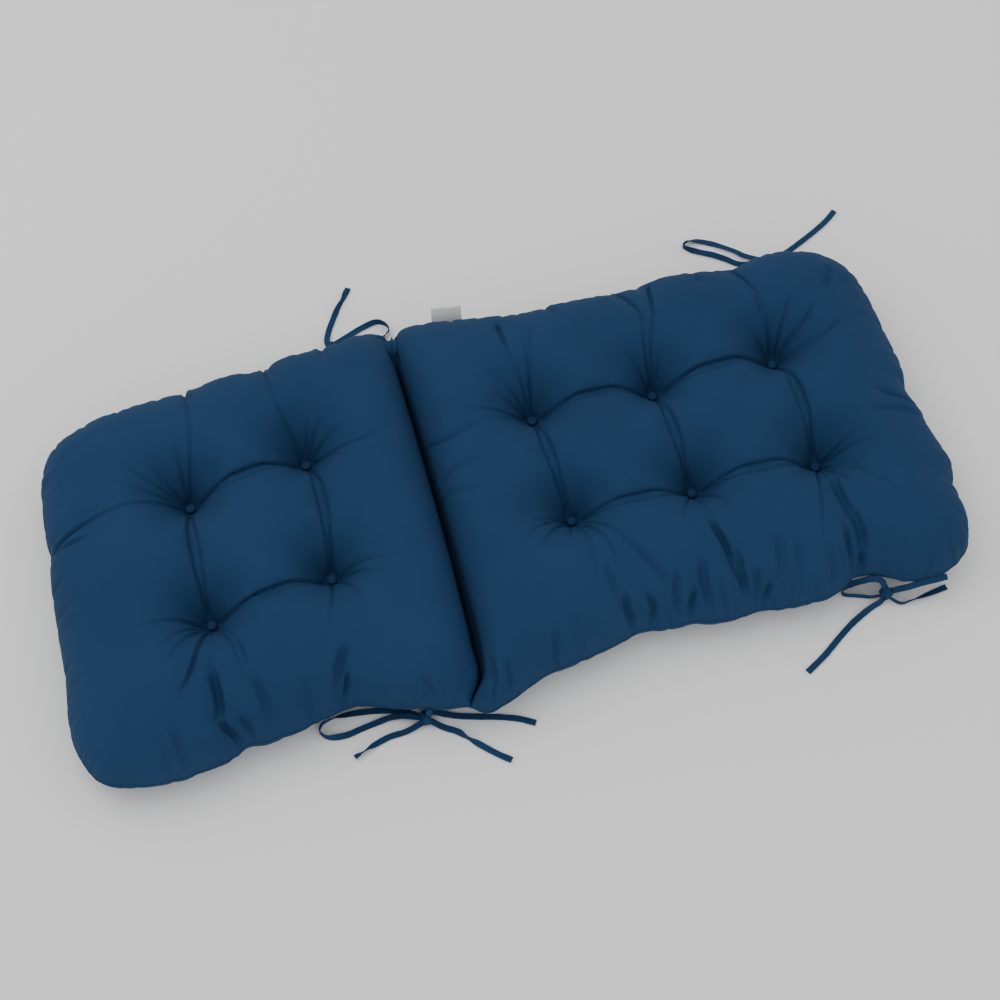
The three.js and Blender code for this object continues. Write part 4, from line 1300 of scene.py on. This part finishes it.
def make_cushion(material):
    edge = gathered_edge(closed_line(seam_outline(), EDGE_SPACING))
    grid = Grid(edge)
    top_steps, under_steps = ((RELAX_STEPS, UNDER_STEPS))
    top = fold_cover(grid, relax(grid, filled_form(grid), top_steps, True), True)
    under = fold_cover(grid, relax(grid, under_form(grid), under_steps, False), False)
    seat_columns, back_columns = slice(None, grid.hinge_column + 1), slice(grid.hinge_column, None)
    seat = cushion_piece("cushion_seat", grid, top, under, seat_columns, material)
    back = cushion_piece("cushion_back", grid, top, under, back_columns, material)
    return seat, back, edge


def make_seam(material, edge):
    """Knife edge seam all round: a thin flat ridge where top and underside meet."""
    out, up = np.array(SEAM_SECTION).T
    plan = edge[:, None] + outward_of(edge)[:, None] * out[:, None]
    points = np.dstack([plan, seam_height(edge.T)[:, None] + up]).reshape(-1, 3)
    uvs = ring_uvs(out + up, np.arange(len(edge)) * EDGE_SPACING)
    faces = ring_faces(len(edge), len(out), closed=True, turned=True)
    return new_object("edge_seam", points, faces, material, uvs)


# Buttons and label


def make_button(name, tuft, material, seed):
    """Covered button: low dome whose cloth is drawn in small pleats round its rim."""
    phases = np.random.default_rng(seed).uniform(0, 6.28, 3)
    a = full_turn(BUTTON_TURNS)
    pleat = np.sin(9 * a + phases[0]) + 0.6 * np.sin(14 * a + phases[1])
    r, z = np.array(BUTTON_PROFILE).T[:, :, None]
    drawn = PLEAT_DEPTH * pleat * np.maximum(0, r - PLEAT_START) / (1 - PLEAT_START)
    out = BUTTON_RADIUS * BUTTON_SHARE * r * (1 + drawn)
    rings = np.dstack([out * np.cos(a), out * np.sin(a), z * BUTTON_THICKNESS + 0 * a]).reshape(-1, 3)
    middle = (0, 0, BUTTON_PROFILE[0][1] * BUTTON_THICKNESS)
    points = np.vstack([middle, rings, (0, 0, 0)])
    count, bottom = len(BUTTON_PROFILE), len(points) - 1
    last = bottom - BUTTON_TURNS
    faces = [(0, 1 + k, 1 + (k + 1) % BUTTON_TURNS) for k in range(BUTTON_TURNS)]
    faces += ring_faces(count, BUTTON_TURNS, first=1, turned=True)
    faces += [(bottom, last + (k + 1) % BUTTON_TURNS, last + k) for k in range(BUTTON_TURNS)]
    lift = np.array([*tuft, BUTTON_SEAT_HEIGHT + BUTTON_ROOM])
    return new_object(name, points + lift, faces, material, points[:, :2])


def make_label(material):
    """Bare care label: a white tape folded double, sewn into the far edge, leaning out and a little bowed."""
    across, up = LABEL_CELLS
    climb = np.arange(up + 1) / up
    t = np.concatenate([climb, 1 - climb])[:, None]
    behind = np.repeat([0, 1], up + 1)[:, None]
    s = np.arange(across + 1) / across
    out = LABEL_LEAN * t * t * 0.55 + LABEL_LEAN * t * 0.45
    wave = 0.0007 * np.sin(5.2 * s + 1.5 * t) * t + 0.0004 * np.sin(11 * s - 3 * t) * t
    gap = 0.0011 * np.sin(math.pi * np.minimum(1, t * 1.02)) + 0.00025
    x = LABEL_WIDTH * s
    y = out + wave + gap * behind
    z = LABEL_RISE * t + 0.0009 * np.sin(2.6 * s + 0.4) * t
    turn = math.radians(LABEL_TURN)
    placed = [x * math.cos(turn) - y * math.sin(turn), x * math.sin(turn) + y * math.cos(turn), z]
    points = np.dstack(placed).reshape(-1, 3) + LABEL_CORNER
    uvs = ring_uvs(x, LABEL_RISE * np.concatenate([climb, 1 + climb]))
    faces = ring_faces(2 * (up + 1), across + 1, wrapped=False)
    piece = new_object("label", points, faces, material, uvs)
    modifier = piece.modifiers.new("thickness", "SOLIDIFY")
    modifier.thickness = LABEL_THICKNESS
    modifier.offset = 0
    apply_modifiers(piece)
    return piece


# Stage


def make_stage():
    corners = [(-1, -1), (1, -1), (1, 1), (-1, 1)]
    points = [(x * FLOOR_SIZE, y * FLOOR_SIZE, -FLOOR_DROP) for x, y in corners]
    floor = new_object("floor", points, [(0, 1, 2, 3)], floor_material())
    world = bpy.data.worlds.new("studio")
    world.use_nodes = True
    background = world.node_tree.nodes["Background"].inputs
    background["Color"].default_value = (1, 1, 1, 1)
    background["Strength"].default_value = WORLD_STRENGTH
    bpy.context.scene.world = world
    for name, place, size, power in LIGHTS:
        data = bpy.data.lights.new(name, "AREA")
        data.energy = power
        data.size = size
        light = bpy.data.objects.new(name, data)
        light.location = place
        light.rotation_euler = (Vector(place) - TARGET).to_track_quat("Z", "Y").to_euler()
        bpy.context.scene.collection.objects.link(light)


def main():
    make_camera()
    cloth = cloth_material("cloth_blue")
    make_ties(cloth_material("tape_blue", stitched=True))
    seat, back, edge = make_cushion(cloth)
    for piece in (seat, back):
        dress(piece, "cloth", "cushion")
    dress(make_seam(cloth, edge), "cloth")
    for seed, (name, tuft) in enumerate(TUFTS.items()):
        button = make_button(f"covered_button_{name}", tuft, cloth, 50 + seed)
        dress(button, "button", f"button_{name}")
    label = make_label(label_material())
    dress(label, "label", "care_label")
    make_stage()


main()
